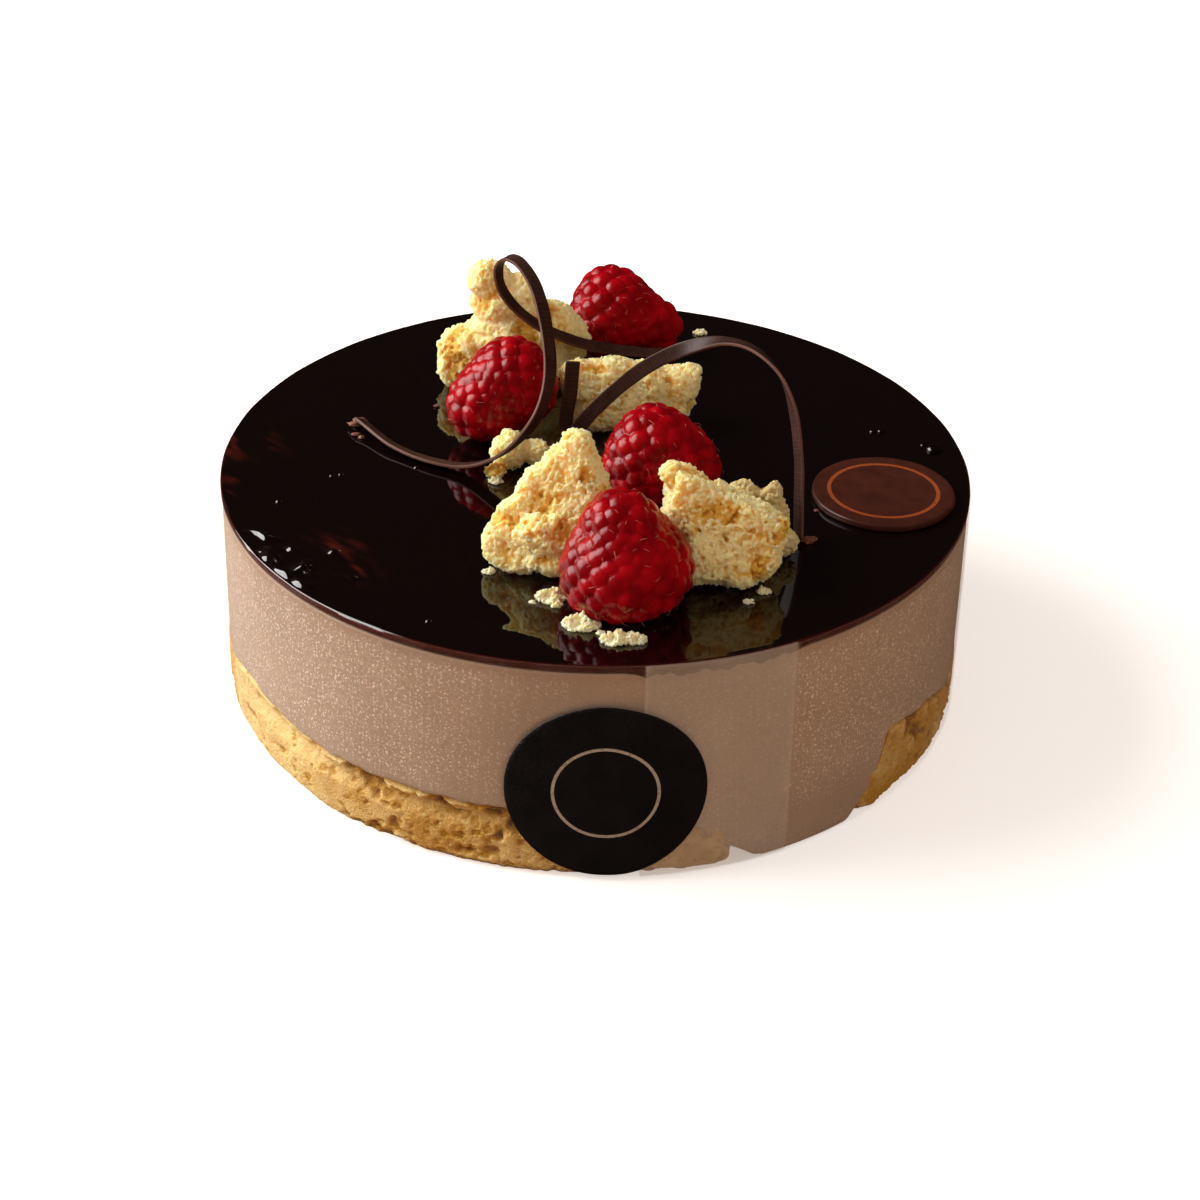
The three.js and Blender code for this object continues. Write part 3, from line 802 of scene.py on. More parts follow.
def label_finish():
    """Black satin paper with one thin pale ring, pimpled in its upper left part."""
    material = new_finish("black label")
    paper = blend(reach(noise(6, 3), 0.3, 0.7), shown(15, 15, 19), shown(22, 21, 23))
    worn = reach(noise(0.7, 3), 0.25, 0.5, 0.55, 1.0)
    where = reach(calc("ADD", mark("slant"), times(noise(5, 3), 8.0)), 6.0, 11.0)
    relief = times(seeds(0.7, "SMOOTH_F1")["Distance"], where)
    return shaded(
        material, Base_Color=printed_ring(paper, shown(176, 168, 158), 10.2, 0.32, worn), Roughness=0.42,
        Normal=bump(relief, 0.22, 0.9))


dressed(label, label_finish(), "label", "label")

# %% [markdown]
# ## The medallion
# A round of dark chocolate, 30 mm across and under 2 mm thick, lies flat on the glaze. Its face was cast
# on a smooth sheet, so it is satin with a faint mottling. One thin plain ring in orange-brown is
# printed on it.

# %% Medallion
MEDALLION_PLACE = (60.5, -13.0)
MEDALLION_SIDE = np.array([         # radius and height over the glaze, from under it to its middle
    (0, -0.02), (10, -0.02), (14.6, -0.02), (14.9, 0.2), (15, 0.5), (15, 1.1), (14.94, 1.35),
    (14.75, 1.52), (14.4, 1.6), (13.5, 1.6), (11, 1.59), (7, 1.58), (3, 1.58), (0, 1.58)])


def make_medallion():
    """A turned disc: foot, rounded side and flat face; its edge wanders by a few hundredths of a mm."""
    turn = turns(144)
    radius, z = MEDALLION_SIDE.T[:, :, None]
    radius = radius * (1 + 0.004 * np.sin(5 * turn + 1) + 0.003 * np.sin(11 * turn))
    points = around(radius, np.degrees(turn), GLAZE_TOP + z) + (*MEDALLION_PLACE, 0)
    return skin("chocolate_round", points, away=radius)


medallion = make_medallion()


# %% Medallion finish
def medallion_finish():
    """Tempered dark chocolate with a printed ring."""
    material = new_finish("medallion chocolate")
    mottled = blend(reach(noise(3.5, 4, 0.6), 0.3, 0.7), shown(62, 28, 20), shown(76, 36, 25))
    broken = reach(noise(0.5, 3), 0.3, 0.5, 0.5, 1.0)
    return shaded(
        material, Base_Color=printed_ring(mottled, shown(158, 76, 34), 11.4, 0.42, broken), Roughness=0.33,
        Normal=bump(noise(1.2, 3), 0.03, 0.5))


dressed(medallion, medallion_finish(), "medallion", "medallion")

# %% [markdown]
# ## Star-shaped pieces
# A berry or a torn piece of sponge can be given as a distance for every direction from a point inside
# it. The grid is then one of longitude and latitude, and each point moves out along its own direction.
# Balls and ellipsoids come easily this way: the distance at which a line leaves them has a formula.


# %% Helpers for star-shaped pieces
def square_to(axis):
    """Two directions square to the axis and to each other."""
    side = unit(np.cross(axis, (0.3, 1, 0.2)))
    return side, np.cross(axis, side)


def directions(rows, columns, axis):
    """A grid of unit vectors from one pole to the other, with the first row along the axis."""
    side, fore = square_to(axis)
    fall = np.linspace(0, np.pi, rows)[:, None, None]
    turn = (np.arange(columns) * 2 * np.pi / columns)[None, :, None]
    return np.cos(fall) * axis + np.sin(fall) * (np.cos(turn) * side + np.sin(turn) * fore)


def golden_ways(count, axis=(0, 0, 1), side=(1, 0, 0), fore=(0, 1, 0)):
    """Directions spread evenly over a sphere, on a golden spiral round the axis."""
    i = np.arange(count)[:, None]
    up = 1 - 2 * (i + 0.5) / count
    turn = i * np.pi * (3 - np.sqrt(5))
    return up * axis + np.sqrt(1 - up ** 2) * (np.cos(turn) * side + np.sin(turn) * fore)


def leaves(direction, centre, halves, side=1):
    """Distance at which a line from the origin leaves (or, with side -1, enters) an ellipsoid, or 0."""
    d, m = direction / halves, np.asarray(centre) / halves
    along, size = d @ m, (d * d).sum(-1)
    root = along ** 2 - size * ((m * m).sum() - 1)
    return np.where(root < 0, 0, (along + side * np.sqrt(np.maximum(root, 0))) / size)


def drop_to(level, centre, direction):
    """Distance from the centre down to that level, along each direction that points down."""
    down = direction[..., 2]
    return np.where(down < 0, (level - centre[2]) / np.minimum(down, -1e-6), 99)


# %% [markdown]
# ## Raspberries
# A raspberry is a blunt cone covered with drupelets, small balls of juice about 3 mm wide, each with a
# fine pale hair. The farthest of the balls along each direction gives the surface, so neighbours meet
# in sharp valleys. How far a point stands out of the valley is stored, as the valleys get a painted shade.

# %% Raspberry shapes
# A dent is a direction from the centre, a width in degrees and a depth in mm.
BERRIES = [
    dict(centre=(6.0, -56.4, 60.6), tip=(-0.16, 0.08, 1), length=25.4, width=23.6, taper=0.38, seed=1,
         dents=[((-0.9, -0.35, 0.52), 15, 2.8), ((-0.9, -0.4, -0.15), 24, -0.9), ((0.8, -0.1, 0.62), 20, 1.2)]),
    dict(centre=(14, -18.3, 59.5), tip=(0.75, -0.25, -0.35), length=24.4, width=20.6, taper=0.14, seed=2,
         dents=[((-0.2, -0.8, 0.5), 16, 0.8)]),
    dict(centre=(-21.2, 11, 59.9), tip=(-0.8, -0.45, -0.45), length=25.6, width=18.8, taper=0.2, seed=3,
         dents=[]),
    dict(centre=(6.3, 55, 57.9), tip=(1, -0.1, -0.3), length=27, width=18.8, taper=0.34, seed=4,
         dents=[]),
]
DRUPELET = 3.6      # mm from one to the next


def berry_body(direction, berry, axis):
    """Distance to a superellipse round the axis, blunt at both ends and narrower towards the tip."""
    up = direction @ axis
    half = berry["width"] / 2 * (1 - berry["taper"] * up)
    flat = np.sqrt(np.clip(1 - up ** 2, 0, 1))
    body = ((np.abs(up) * 2 / berry["length"]) ** 2.5 + (flat / half) ** 2.5) ** (-1 / 2.5)
    for way, width, depth in berry["dents"]:
        off = np.degrees(np.arccos(np.clip(direction @ unit(way), -1, 1)))
        body = body - depth * bell(off, width)
    return body


def make_raspberry(number, berry):
    """The farthest drupelet along each direction, cut off where the berry stands on the glaze."""
    random = np.random.default_rng(berry["seed"])
    axis, centre = unit(berry["tip"]), np.array(berry["centre"])
    size = (berry["length"] + 2 * berry["width"]) / 6
    count = round(4 * np.pi * size ** 2 / (DRUPELET ** 2 * 0.87))
    ways = golden_ways(count, axis, *square_to(axis))
    ways = unit(ways + random.normal(0, 0.22 / np.sqrt(count), ways.shape))
    ball = 0.86 * DRUPELET * random.uniform(0.88, 1.12, count)
    middles = ways * (berry_body(ways, berry, axis) - 0.97 * ball)[:, None]
    grid = directions(int(170 * FINE), int(340 * FINE), axis)
    valley = berry_body(grid, berry, axis) - 0.8
    surface = valley
    for middle, radius in zip(middles, ball):
        surface = np.maximum(surface, leaves(grid, middle, np.full(3, radius)))
    stands = np.clip((surface - valley) / 0.8, 0, 1)
    out = np.minimum(surface, drop_to(GLAZE_TOP - 0.05, centre, grid))
    tops = centre + middles + ways * ball[:, None]
    return skin(f"raspberry_{number}_drupelets", centre + grid * out[..., None], stands=stands), tops, ways


# %% Raspberry finish
def raspberry_finish():
    """Crimson skin over juice: light enters and comes out red, the valleys take a painted shade, the tops
    gloss.
    """
    material = new_finish("raspberry")
    fresh = blend(reach(noise(5), 0.35, 0.65), shown(164, 3, 18), shown(126, 1, 11))
    # painted shade: the valleys take one fixed crimson, darker than the berry's lighter tone
    colour = blend(reach(mark("stands"), 0.0, 0.5), shown(150, 2, 14), fresh)
    return shaded(
        material, Base_Color=colour, Roughness=0.2, Specular_IOR_Level=0.27,
        Normal=bump(noise(0.9, 3, 0.55), 0.12, 0.8),
        Subsurface_Weight=0.7, Subsurface_Radius=(1.0, 0.1, 0.08), Subsurface_Scale=0.0025)


berry_skin = raspberry_finish()
hair_roots = []
for number, berry in enumerate(BERRIES, 1):
    piece, tops, ways = make_raspberry(number, berry)
    dressed(piece, berry_skin, "raspberry", f"raspberry_{number}")
    hair_roots.append((tops, ways))


# %% [markdown]
# Most drupelets keep a fine straw-coloured hair, a millimetre or two long and bent over. They are thin
# three-sided tubes, all in one mesh, because they are repeated hundreds of times.


# %% Raspberry hairs
def many_tubes(name, paths, thick):
    """Thin three-sided tubes, closed to a point at both ends, along paths (count, steps, 3) in mm."""
    steps = paths.shape[1]
    along = unit(np.gradient(paths, axis=1))
    side = unit(np.cross(along, (0.37, 0.21, 0.9)))[:, :, None]
    fore = np.cross(along[:, :, None], side)
    radius = (thick * np.sin(np.linspace(0, np.pi, steps)) ** 0.5)[:, None, None]
    turn = np.radians([0, 120, 240])[:, None]
    rings = paths[:, :, None] + radius * (np.cos(turn) * side + np.sin(turn) * fore)
    return new_mesh(name, *copies(np.stack([flat_grid(tube) for tube in rings]), steps, 3))


def make_hairs():
    """From most drupelets a hair that starts outwards, then leans over to one side."""
    random = np.random.default_rng(11)
    paths = []
    t = np.linspace(0, 1, 6)[None, :, None]
    for tops, ways in hair_roots:
        keep = (random.random(len(tops)) < 0.6) & (tops[:, 2] > GLAZE_TOP + 2)
        root, out = tops[keep] - 0.15 * ways[keep], ways[keep]
        lean = random.normal(0, 1, root.shape) + (0, 0, -0.5)
        lean = unit(lean - out * (lean * out).sum(1, keepdims=True))
        length = random.uniform(0.9, 2.1, len(root))[:, None, None]
        bent = out[:, None] * 0.33 * np.sin(t * 1.9) + lean[:, None] * t ** 1.3
        paths.append(root[:, None] + length * bent)
    return many_tubes("raspberry_hairs", np.concatenate(paths), 0.05)


def hair_finish():
    """Dry straw, pale red against the berry."""
    material = new_finish("raspberry hair")
    colour = blend(reach(noise(3), 0.35, 0.65), shown(214, 132, 108), shown(164, 58, 48))
    return shaded(material, Base_Color=colour, Roughness=0.4)


dressed(make_hairs(), hair_finish(), "raspberry")

# %% [markdown]
# ## Torn sponge
# Six pieces of sponge lie on the glaze. Sponge tears into grains of about a millimetre, stuck together
# with gaps between them, and a displaced skin can't show such overhangs. So each piece starts as a
# cluster of rounded lobes, as in the CAD, cut flat or scooped out where the crumb broke. Thousands of
# small balls are set on and just under its surface, some pressed in where crumb has torn out, and
# Blender's voxel remesh fuses them with the core into one closed skin. The depth of each point under
# the lobes' surface is stored, and the finish paints deep points golden and dark as shade.

# %% Torn sponge shapes
# A lobe or a scoop is given by its middle and its half widths along x, y and z, a cut by a point of its
# plane and the way the plane faces. The lobes named after fill out a piece once it is cut.
TORN = [
    dict(centre=(-19, 37, 62), lobes=[
        (-24.8, 37.5, 74.6, 5.2, 5, 4.4), (-22.6, 37, 69.5, 6.6, 6.2, 5.4), (-17, 38, 67.5, 6.2, 6, 5),
        (-20, 37, 62, 10.5, 8.4, 7), (-30.4, 35.6, 57.6, 6.4, 6.4, 6.2), (-33, 34, 53.6, 3.4, 4, 4.4),
        (-10.5, 39.5, 61.5, 6.6, 6.2, 7), (-6.6, 40.5, 58.5, 5, 4.6, 5.4), (-18, 37, 55.5, 11, 8, 6.5),
        (-17.6, 38, 70.3, 5, 5, 5.8)]),
    dict(centre=(7.5, 16, 57), lobes=[
        (-4.2, 15, 61, 5, 4.6, 5), (3, 16, 60.6, 7, 6.2, 6), (10, 17, 59.6, 7.2, 6.6, 5.4),
        (17.2, 18.5, 58.6, 5.6, 5.8, 4.8), (20.4, 19, 61.2, 2.8, 3, 2.8), (6, 15.5, 55, 10, 6.6, 5.5),
        (16, 17.5, 54.6, 6.2, 5.4, 5), (-0.4, 14.6, 53.6, 5.6, 4.6, 4.6)],
        cuts=[((8, 10.2, 58), (-0.1, -0.96, 0.28))]),
    dict(centre=(-9, -42, 59), lobes=[
        (-3.4, -37, 73.4, 3.6, 3.8, 3), (-4.4, -37.8, 69, 6, 6, 4.8), (-6.6, -40, 63.5, 9.2, 8, 7.4),
        (-10.6, -42.5, 57.5, 10, 8.4, 7.4), (-14.5, -44.5, 53.8, 7.2, 6.2, 5.6), (0, -39, 62.5, 4.8, 5, 6)],
        cuts=[((-7, -45.2, 64), (-0.2, -0.86, 0.46))],
        after=[(-8.6, -46.6, 58.2, 7.6, 5, 5), (-7, -47.5, 53, 7, 4.4, 3.4), (-18.8, -43.6, 55, 3.4, 3.4, 4)],
        scoops=[(-8.2, -48.6, 66, 6.6, 4.9, 2), (-8.2, -52.4, 60.4, 2, 1.9, 1.9),
                (-11.4, -53, 54.6, 4.2, 2.6, 2.1), (-1.5, -44, 71, 2.2, 2, 3)]),
    dict(centre=(24, -46.5, 59), lobes=[
        (17.6, -45, 67.5, 6, 6, 6.4), (24, -46.4, 62.5, 10, 7.6, 8.6), (31, -46.8, 60.6, 7.6, 7, 6),
        (21.4, -48.4, 57, 8.6, 8, 7.4), (28.6, -48.6, 56.4, 8, 7.8, 7.4), (35, -45.6, 60, 3.6, 4, 3.6)],
        cuts=[((24, -46, 69.4), (0.42, 0.1, 0.9)), ((24, -52.6, 61), (0.06, -0.93, 0.36)),
              ((13.4, -46, 64), (-0.96, -0.1, 0.25))],
        after=[(14.6, -44, 71.2, 2.5, 3, 2.2), (37, -45.2, 61.4, 2, 2.4, 1.9),
               (34.6, -48, 55.4, 2.2, 2.6, 2.4)],
        scoops=[(21.6, -53.6, 64.6, 2.8, 1.8, 1.2), (28.6, -55.4, 59.6, 3, 1.9, 1.4)]),
    dict(centre=(34, -35, 56), lobes=[
        (34, -35, 56.4, 5.5, 4, 6.4), (30.4, -34.5, 61.4, 4.6, 3, 3.2), (35, -35, 62, 2.6, 2.6, 2.8),
        (38.2, -38.6, 52.6, 3.2, 3, 3)]),
    dict(centre=(-17.5, -4.8, 53.2), lobes=[
        (-18.4, -4.5, 54, 4.4, 4.2, 4.4), (-12.8, -3.5, 53.2, 3.4, 3.2, 2.8),
        (-21.4, -8.8, 51, 2.2, 2.4, 1.8)]),
]


MOST_PITTED, SHADED = 4, 5      # the front right piece, and the one behind it, whose crumb is painted darker and greyer as shade


def round_max(a, b, size):
    """The larger of two distances, rounded where they meet."""
    near = np.maximum(size - np.abs(a - b), 0)
    return np.maximum(a, b) + near * near / (4 * size)


def shell_of(name):
    """Middle and half widths, in mm, of the ellipsoid round a CAD node that neighbours keep out of."""
    low, high = (np.array(corner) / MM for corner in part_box(name))
    return (low + high) / 2, (high - low) * 0.535 + 0.3


def torn_reach(grid, number, torn, neighbours, scooped=True):
    """Distance to the lobes' joint surface: cut by planes, uneven, scooped out, and clear of neighbours.

    A line leaves a plane's inner side at (point - centre).normal / direction.normal."""
    centre = np.array(torn["centre"], float)

    def blobs(key):
        return [(np.array(blob[:3]) - centre, np.array(blob[3:], float)) for blob in torn.get(key, [])]

    out = 0.0
    for at, halves in blobs("lobes"):
        out = round_max(out, leaves(grid, at, halves), 1.8)
    for point, way in torn.get("cuts", []):
        slope = grid @ unit(way)
        plane = np.where(slope > 0.05, (np.array(point) - centre) @ unit(way) / np.maximum(slope, 0.05), 99)
        out = -round_max(-out, -plane, 1.2)
    for at, halves in blobs("after"):
        out = round_max(out, leaves(grid, at, halves), 1.8)
    place = centre + grid * out[..., None]
    out = out + 0.25 * lumps(*np.moveaxis(place, -1, 0), 5)
    out = out + 0.4 * drift(place, 3.6, 90 + number) + 0.2 * drift(place, 1.8, 95 + number)
    for at, halves in blobs("scoops") if scooped else []:
        entry, leaving = leaves(grid, at, halves, -1), leaves(grid, at, halves)
        out = np.where((entry > 0) & (entry < out) & (out < leaving), entry, out)
    for at, halves in neighbours:
        entry = leaves(grid, at - centre, halves, -1)
        out = np.where(entry > 0, np.minimum(out, entry + 0.3), out)
    return out


def torn_in(place, number):
    """How many mm the crumb is torn in at those places: a few broad recesses, and many round pits."""
    broad = ease(drift(place, 5.5, 300 + number) + 0.4 * drift(place, 2.3, 301 + number), 0.3, 0.8)
    away, own = nearest_seed(place, 2.0, 310 + number)
    pit = dome(away, 0.3 + 0.75 * own) * (own > 0.3)
    return 1.4 * broad + (1.2 if number == MOST_PITTED else 0.7) * pit


# %% Grains fused into crumb
def many_balls(places, sizes, rows=7, columns=9):
    """Coarse balls of those sizes at those places, as one list of vertices, quads and triangles."""
    ball = flat_grid(directions(rows, columns, (0, 0, 1)))
    return copies(places[:, None] + ball * sizes[:, None, None], rows, columns)


def fused(parts, voxel):
    """Closed shells, in mm, fused by a voxel remesh of that size: vertices and quads of one skin."""
    vertices, polygons, count = [], [], 0
    for points, quads, tris in parts:
        vertices.append(points)
        polygons += (quads + count).tolist() + (tris + count).tolist()
        count += len(points)
    mesh = bpy.data.meshes.new("grains")
    mesh.from_pydata(np.concatenate(vertices), [], polygons)
    rough = linked("grains", mesh)
    remesh = rough.modifiers.new("fuse", "REMESH")
    remesh.mode, remesh.voxel_size = "VOXEL", voxel
    done = rough.evaluated_get(bpy.context.evaluated_depsgraph_get()).to_mesh()
    points = np.zeros(3 * len(done.vertices), np.float32)
    done.vertices.foreach_get("co", points)
    quads = np.zeros(len(done.loops), np.int32)
    done.loops.foreach_get("vertex_index", quads)
    bpy.data.objects.remove(rough)
    bpy.data.meshes.remove(mesh)
    return points.reshape(-1, 3).astype(float), quads.reshape(-1, 4)


MOST_GRAINS, GRAIN_AREA, CORE_DEPTH = 40000, 0.22, 0.95      # area in mm^2 for one grain, depth in mm


def make_torn(number, torn, neighbours, voxel):
    """Core, grains on its surface, and the skin round both; cut off a hair above the glaze."""
    random = np.random.default_rng(200 + number)
    centre = np.array(torn["centre"], float)
    ways = golden_ways(MOST_GRAINS)
    ways = unit(ways + random.normal(0, 0.012, ways.shape))
    out = torn_reach(ways, number, torn, neighbours)
    keep = random.random(len(ways)) < 4 * np.pi * out ** 2 / (len(ways) * GRAIN_AREA / FINE)
    ways, out = ways[keep], out[keep]
    place = centre + ways * out[:, None]
    _, own = nearest_seed(place, 1.6, 330 + number)
    inward = 0.3 + torn_in(place, number) + 0.45 * random.random(len(out))
    inward = inward - 0.35 * (own < 0.12) + 0.4 * (own > 0.9)
    sizes = random.uniform(0.22, 0.4, len(out))
    place = centre + ways * (out - inward)[:, None]
    above = place[:, 2] > GLAZE_TOP + 0.2
    place, sizes = place[above], sizes[above]
    place[:, 2] = np.maximum(place[:, 2], GLAZE_TOP + 0.9 * sizes)
    core = directions(120, 240, unit((0.12, 0.2, -1)))
    deep = torn_reach(core, number, torn, neighbours)
    deep = deep - CORE_DEPTH - torn_in(centre + core * deep[..., None], number)
    deep = np.minimum(deep, drop_to(GLAZE_TOP + 0.5, centre, core))
    solid = flat_grid(centre + core * deep[..., None])
    points, quads = fused([(solid, *ring_faces(120, 240)), many_balls(place, sizes)], voxel / FINE)
    far = np.linalg.norm(points - centre, axis=1)
    # depth under the lobes' surface, stored as the hollow mark, which the finish paints as shade
    under = torn_reach(unit(points - centre), number, torn, neighbours, scooped=False) - far
    points[:, 2] = np.maximum(points[:, 2], GLAZE_TOP - 0.02)
    return new_mesh(f"torn_sponge_{number}", points, quads, hollow=np.clip((under - 0.4) / 1.8, 0, 1))


VOXELS = (0.25, 0.23, 0.195, 0.195, 0.21, 0.19)     # mm, one for each piece
FOOT_OF_CURL_2 = (np.array([41.4, -31.5, 55]), np.array([2.2, 2.2, 9]))     # as shell_of gives it
torn_crumb = sponge_finish(
    "torn crumb", (243, 227, 168), (234, 190, 88), (198, 136, 36), glow=0.9, spread=0.0034)
# painted shade: a darker, greyer copy of the crumb for the piece that lies in the others' shadow
painted_shade_crumb = sponge_finish("shaded crumb", (206, 190, 140), (172, 142, 80), (116, 88, 40))
clear_of = [shell_of(f"raspberry_{k}") for k in (1, 2, 3, 4)] + [FOOT_OF_CURL_2]
for number, (torn, voxel) in enumerate(zip(TORN, VOXELS), 1):
    piece = make_torn(number, torn, clear_of, voxel)
    dressed(piece, painted_shade_crumb if number == SHADED else torn_crumb, "sponge", f"sponge_piece_{number}")
    clear_of.append(shell_of(f"sponge_piece_{number}"))

# %% [markdown]
# ## Chocolate curls
# Two ribbons of dark chocolate, 3 mm wide and under 1 mm thick, stand on the glaze. Each is a rounded
# bar carried along a smooth path through the same points as the CAD's. The path is a centripetal
# Catmull-Rom curve, which passes through every point without loops, and is then cut into equal steps.
# Marks hold how far along and how near an edge a point is, for hairline cracks and a painted highlight along
# the edges.

# %% Curl paths
CURL_1 = np.array([
    [-52, 12.5, 51.6], [-43.4, 2.4, 50.6], [-35.4, -3.5, 50.6], [-27.7, -7, 51.4], [-21.2, -9.9, 54.9],
    [-16, -11, 60], [-11.9, -8, 65], [-10, -4, 71.7], [-11.1, 3, 79.8], [-13.7, 10, 85.7],
    [-17, 15, 88.4], [-19.8, 19, 87.8], [-21.8, 21.5, 84.7], [-21.5, 22.5, 79.7], [-19, 23.5, 75],
    [-14.2, 25.6, 69.6], [-8.8, 28.8, 65.2], [-2, 34, 60.5], [4.8, 39.2, 57], [11.8, 42, 55.2],
    [19.4, 44.2, 54.6],
])
CURL_2 = np.array([
    [-5.4, 8.2, 68.9], [-5.9, 7.7, 61.9], [-6.7, 7, 54.4], [-5.9, 5.8, 51.9], [-4, 5, 54.7],
    [-1.1, 4, 59.1], [5.8, 2.5, 67.2], [11.9, 0, 73.3], [18.9, -4, 78.8], [25.9, -8, 82.2],
    [31.8, -13, 82.8], [36.7, -18, 79.8], [39.4, -23, 74.5], [40.9, -27.5, 65.6], [41.2, -30.5, 58.1],
    [41.5, -32.3, 50.6],
])


def smooth_path(points, steps):
    """Centripetal Catmull-Rom curve in equal steps: their places, directions and lengths so far."""
    p = np.concatenate([[2 * points[0] - points[1]], points, [2 * points[-1] - points[-2]]])
    gap = np.linalg.norm(np.diff(p, axis=0), axis=1)[:, None] ** 0.5
    before, middle, after = gap[:-2], gap[1:-1], gap[2:]
    a, b, c, d = p[:-3], p[1:-2], p[2:-1], p[3:]
    start = middle * ((b - a) / before - (c - a) / (before + middle) + (c - b) / middle)
    finish = middle * ((c - b) / middle - (d - b) / (middle + after) + (d - c) / after)
    t = np.linspace(0, 1, 60, endpoint=False)[None, :, None]
    b, c, start, finish = (v[:, None] for v in (b, c, start, finish))
    curve = ((2 * t ** 3 - 3 * t ** 2 + 1) * b + (t ** 3 - 2 * t ** 2 + t) * start
             + (3 * t ** 2 - 2 * t ** 3) * c + (t ** 3 - t ** 2) * finish)
    curve = np.concatenate([curve.reshape(-1, 3), points[-1:]])
    length = np.concatenate([[0], np.cumsum(np.linalg.norm(np.diff(curve, axis=0), axis=1))])
    at = np.linspace(0, length[-1], steps)
    path = np.stack([np.interp(at, length, curve[:, k]) for k in range(3)], -1)
    along = np.gradient(path, axis=0)
    return path, unit(along), at


# %% Curls
HALF_WIDE, HALF_THICK = 1.55, 0.45


def blunt(share, power):
    """The share, from -1 to 1, with its size raised to the power."""
    return np.sign(share) * np.abs(share) ** power


def ribbon(name, points, across_at, steps, seed):
    """A rounded bar, 3.1 by 0.9 mm, carried along the path; its broad side is slightly dished."""
    path, along, at = smooth_path(points, steps)
    across = across_at(along, np.linspace(0, 1, steps))
    out = np.cross(along, across)
    turn = np.radians(np.arange(0, 360, 10))
    wide = HALF_WIDE * blunt(np.cos(turn), 0.35)
    thick = HALF_THICK * blunt(np.sin(turn), 0.45)
    thick = thick - 0.1 * (1 - (wide / HALF_WIDE) ** 2) * np.sign(thick)
    place = np.stack([at / 4, 0 * at + seed, 0 * at], -1)
    width = 1 + 0.04 * drift(place, 1.0, seed)[:, None, None]
    rings = path[:, None] + across[:, None] * wide[:, None] * width + out[:, None] * thick[:, None]
    along_mark = np.concatenate([at[:1], at, at[-1:]])[:, None] + 0 * wide
    return skin(name, capped(rings), along=along_mark, edge=np.abs(wide / HALF_WIDE) + 0 * along_mark)


def turning(keys, faces):
    """Across a ribbon at each share of its length: square to the path and nearest to the key's way, or,
    if it faces that way, square to both."""
    shares, ways = [share for share, _ in keys], np.array([way for _, way in keys])

    def across(along, share):
        way = np.stack([np.interp(share, shares, ways[:, k]) for k in range(3)], -1)
        return unit(np.cross(way, along) if faces else way - along * (along * way).sum(1, keepdims=True))
    return across


# Share of the length, and the way that the first ribbon's breadth runs or the second one's face looks.
CURL_1_ACROSS = [(0.06, (0.45, 0.8, -0.45)), (0.26, (0.66, 0.75, 0)), (0.58, (0.66, 0.75, 0)),
                 (0.72, (0.15, 0.95, 0.12))]
CURL_2_FACES = [(0.45, (0.1, -0.85, 0.45)), (0.62, (0.3, 0.0, 0.95)), (0.78, (0.82, 0.5, 0.15))]
curl_1 = ribbon("curl_high", CURL_1, turning(CURL_1_ACROSS, False), int(420 * FINE), 3)
curl_2 = ribbon("curl_arch", CURL_2, turning(CURL_2_FACES, True), int(380 * FINE), 8)


# %% Curl finish
def curl_finish():
    """Dark chocolate, satin, with a painted highlight along its edges and fine light cracks across the ribbon.
    """
    material = new_finish("curl chocolate")
    along, edge = mark("along"), mark("edge")
    drawn_out = {"X": times(along, 0.0001), "Y": times(edge, 0.0004)}
    grain = noise(0.5, 3, 0.6, add("CombineXYZ", drawn_out).outputs[0])
    colour = blend(reach(grain, 0.3, 0.7), shown(46, 26, 20), shown(62, 37, 30))
    # painted highlight: a paler brown along the ribbon's edges
    colour = blend(reach(edge, 0.9, 1.0, 0.0, 0.5), colour, shown(128, 86, 70))
    pieces = add(
        "TexVoronoi", {"W": times(along, 0.2)}, voronoi_dimensions="1D", feature="DISTANCE_TO_EDGE")
    crack = reach(pieces.outputs["Distance"], 0.0, 0.035, 1.0, 0.0)
    colour = blend(times(crack, 0.6), colour, shown(140, 90, 66))
    return shaded(
        material, Base_Color=colour, Roughness=0.48, Specular_IOR_Level=0.28,
        Normal=bump(noise(0.8, 3), 0.05, 0.5, under=bump(crack, -0.12, 0.6)))


curl_chocolate = curl_finish()
dressed(curl_1, curl_chocolate, "chocolate", "curl_1")
dressed(curl_2, curl_chocolate, "chocolate", "curl_2")

# %% [markdown]
# ## Crumbs, flakes and bubbles
# Small things lie on the glaze: little heaps of crumbs in front and single crumbs by the torn pieces,
# which are balls fused as the torn sponge is; flakes of chocolate by the curls' ends; and bubbles in the
# glaze. A flake or a bubble is a small star-shaped grain, and all of one kind make one mesh.

# %% Crumbs
CRUMB_HEAPS = [     # x, y, spread and count of balls
    (-8.0, -56.6, 3.0, 450), (-7.0, -59.2, 1.3, 72), (-1.9, -66.0, 3.7, 855), (4.6, -71.2, 2.9, 495),
    (8.2, -71.0, 2.4, 360), (24, 64.8, 1.6, 108), (-21, -10.6, 1.6, 108), (33.5, -52.5, 1.5, 99),
    (-20.5, -47.5, 1.3, 63), (30.5, -56.5, 1.1, 40), (-11.4, -58.5, 0.7, 22), (1.8, -69.0, 0.9, 32)]
CRUMB_VOXEL = 0.13


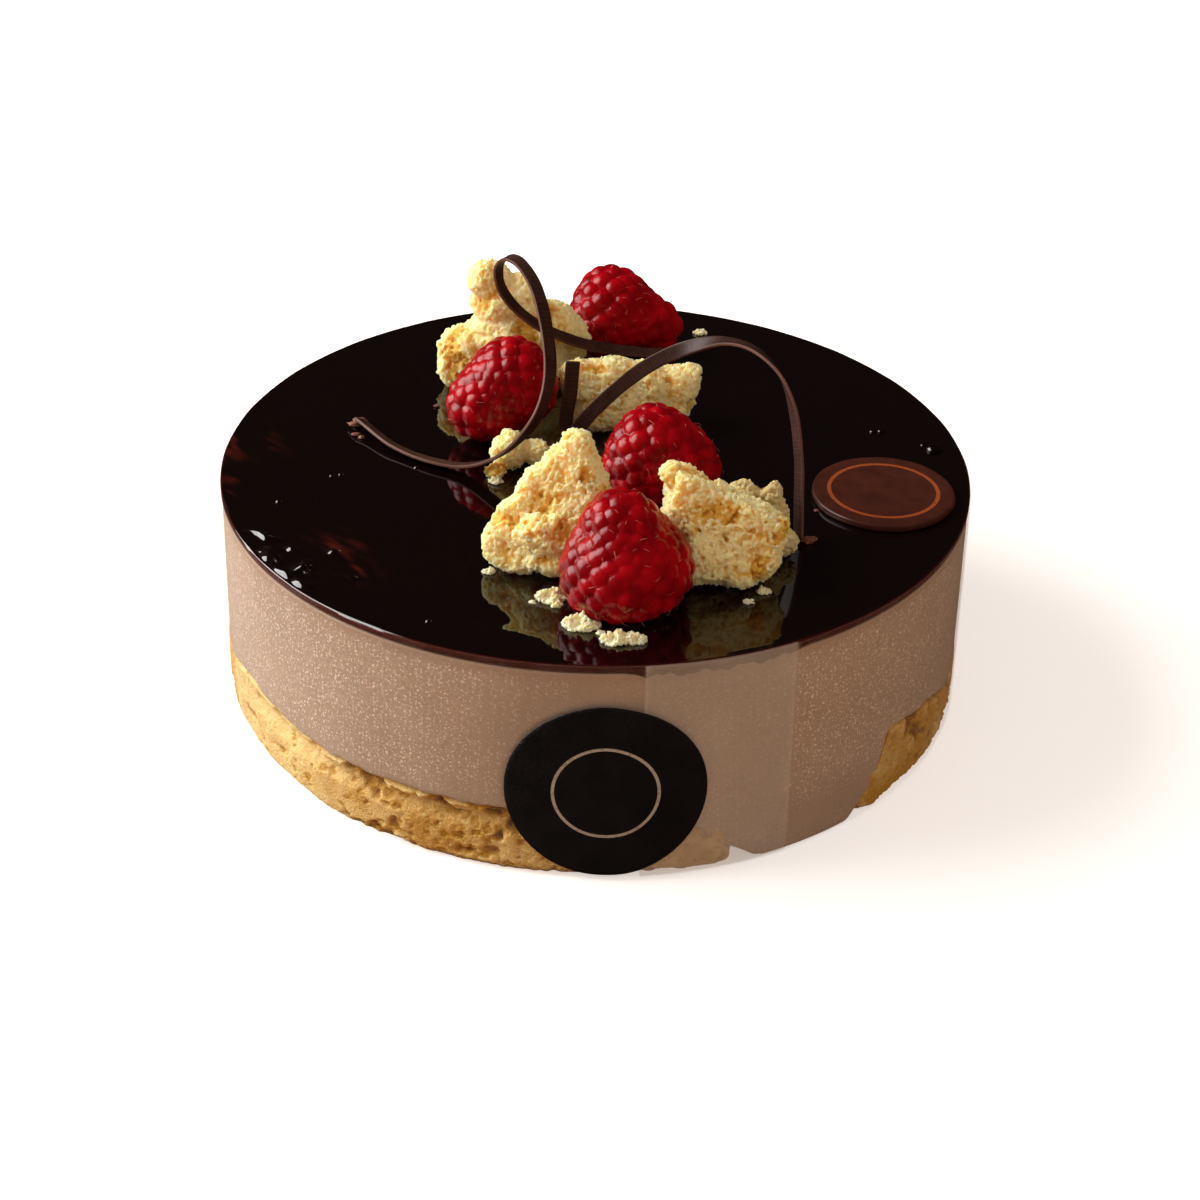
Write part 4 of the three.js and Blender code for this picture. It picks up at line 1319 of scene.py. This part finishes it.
def make_crumbs():
    """Low domes of little balls, each at a random place inside its dome, fused into crumbs."""
    random = np.random.default_rng(21)
    places, sizes = [], []
    for x, y, spread, count in CRUMB_HEAPS:
        away = spread * random.uniform(0, 1, count) ** 0.6
        turn = random.uniform(0, 2 * np.pi, count)
        size = random.uniform(0.17, 0.33, count)
        roof = 0.75 * spread * np.sqrt(1 - (away / spread) ** 2) * (0.55 + 0.45 * np.sin(3 * turn + x))
        z = GLAZE_TOP + 0.75 * size + random.uniform(0.0, 1.0, count) * np.maximum(roof, 0)
        places.append(np.stack([x + away * np.cos(turn), y + 0.75 * away * np.sin(turn), z], -1))
        sizes.append(size)
    points, quads = fused([many_balls(np.concatenate(places), np.concatenate(sizes))], CRUMB_VOXEL / FINE)
    return new_mesh("sponge_crumbs", points, quads, hollow=0.6 * ease(drift(points, 0.9, 23), 0.1, 0.8))


pale_crumb = sponge_finish(
    "pale crumb", (247, 234, 194), (240, 218, 158), (214, 180, 104), glow=0.75, spread=0.0018)
dressed(make_crumbs(), pale_crumb, "sponge")


# %% Flakes and bubbles
def grains(name, places, flat, seed, rows=10, columns=16, rough=0.3):
    """Star-shaped grains: a unit ball grid times drifting lumps, squashed by flat, at x, y, z and size."""
    grid = directions(rows, columns, (0, 0, 1))
    shapes = []
    for k, (*place, size) in enumerate(places):
        shape = drift(grid + 9.0 * k, 0.55, seed) + 0.6 * drift(grid + 5.0 * k, 0.25, seed + 1)
        points = np.array(place) + grid * (1 + rough * shape)[..., None] * size * np.array(flat)
        points[..., 2] = np.maximum(points[..., 2], GLAZE_TOP - 0.05)
        shapes.append(flat_grid(points))
    return new_mesh(name, *copies(np.stack(shapes), rows, columns))


FLAKES = [          # x, y, z and size
    (-52.3, 14.2, 50.3, 1.3), (-53.2, 12.2, 50.6, 1.1), (-52.6, 8.8, 49.9, 0.8), (-51.2, 7.6, 49.8, 0.6),
    (43.6, -32.6, 50.0, 1.2), (44.6, -31.9, 49.9, 0.8), (-35.9, 23.4, 49.8, 0.6), (46, -20, 49.8, 0.5)]
flakes = grains("chocolate_flakes", FLAKES, (1.2, 0.9, 0.45), 51, rough=0.45)
flake_finish = new_finish("flake chocolate")
shaded(flake_finish, Base_Color=blend(noise(1.2, 3), shown(80, 44, 34), shown(150, 96, 74)), Roughness=0.5,
       Normal=bump(noise(0.4), 0.1, 0.8))
dressed(flakes, flake_finish, "chocolate")

BUBBLES = [         # x, y and radius
    (-65.4, -21.2, 0.75), (-55.7, -9.6, 0.6), (-53.9, -9.0, 0.55), (-38.1, -5.2, 0.7), (61.0, 16.3, 0.9),
    (62.8, 16.6, 0.9), (73.6, 8.5, 1.8), (71.5, 10.5, 0.7), (-31, -66, 0.7), (14, -66.5, 0.8),
    (12.4, -67.2, 0.5)]
bubbles = grains("glaze_bubbles", [(x, y, GLAZE_TOP, size) for x, y, size in BUBBLES], (1, 1, 0.7), 61,
                 rows=16, columns=28, rough=0.0)
bubbles.data.attributes.new("thin", "FLOAT", "POINT")
dressed(bubbles, glaze_gloss, "glaze")
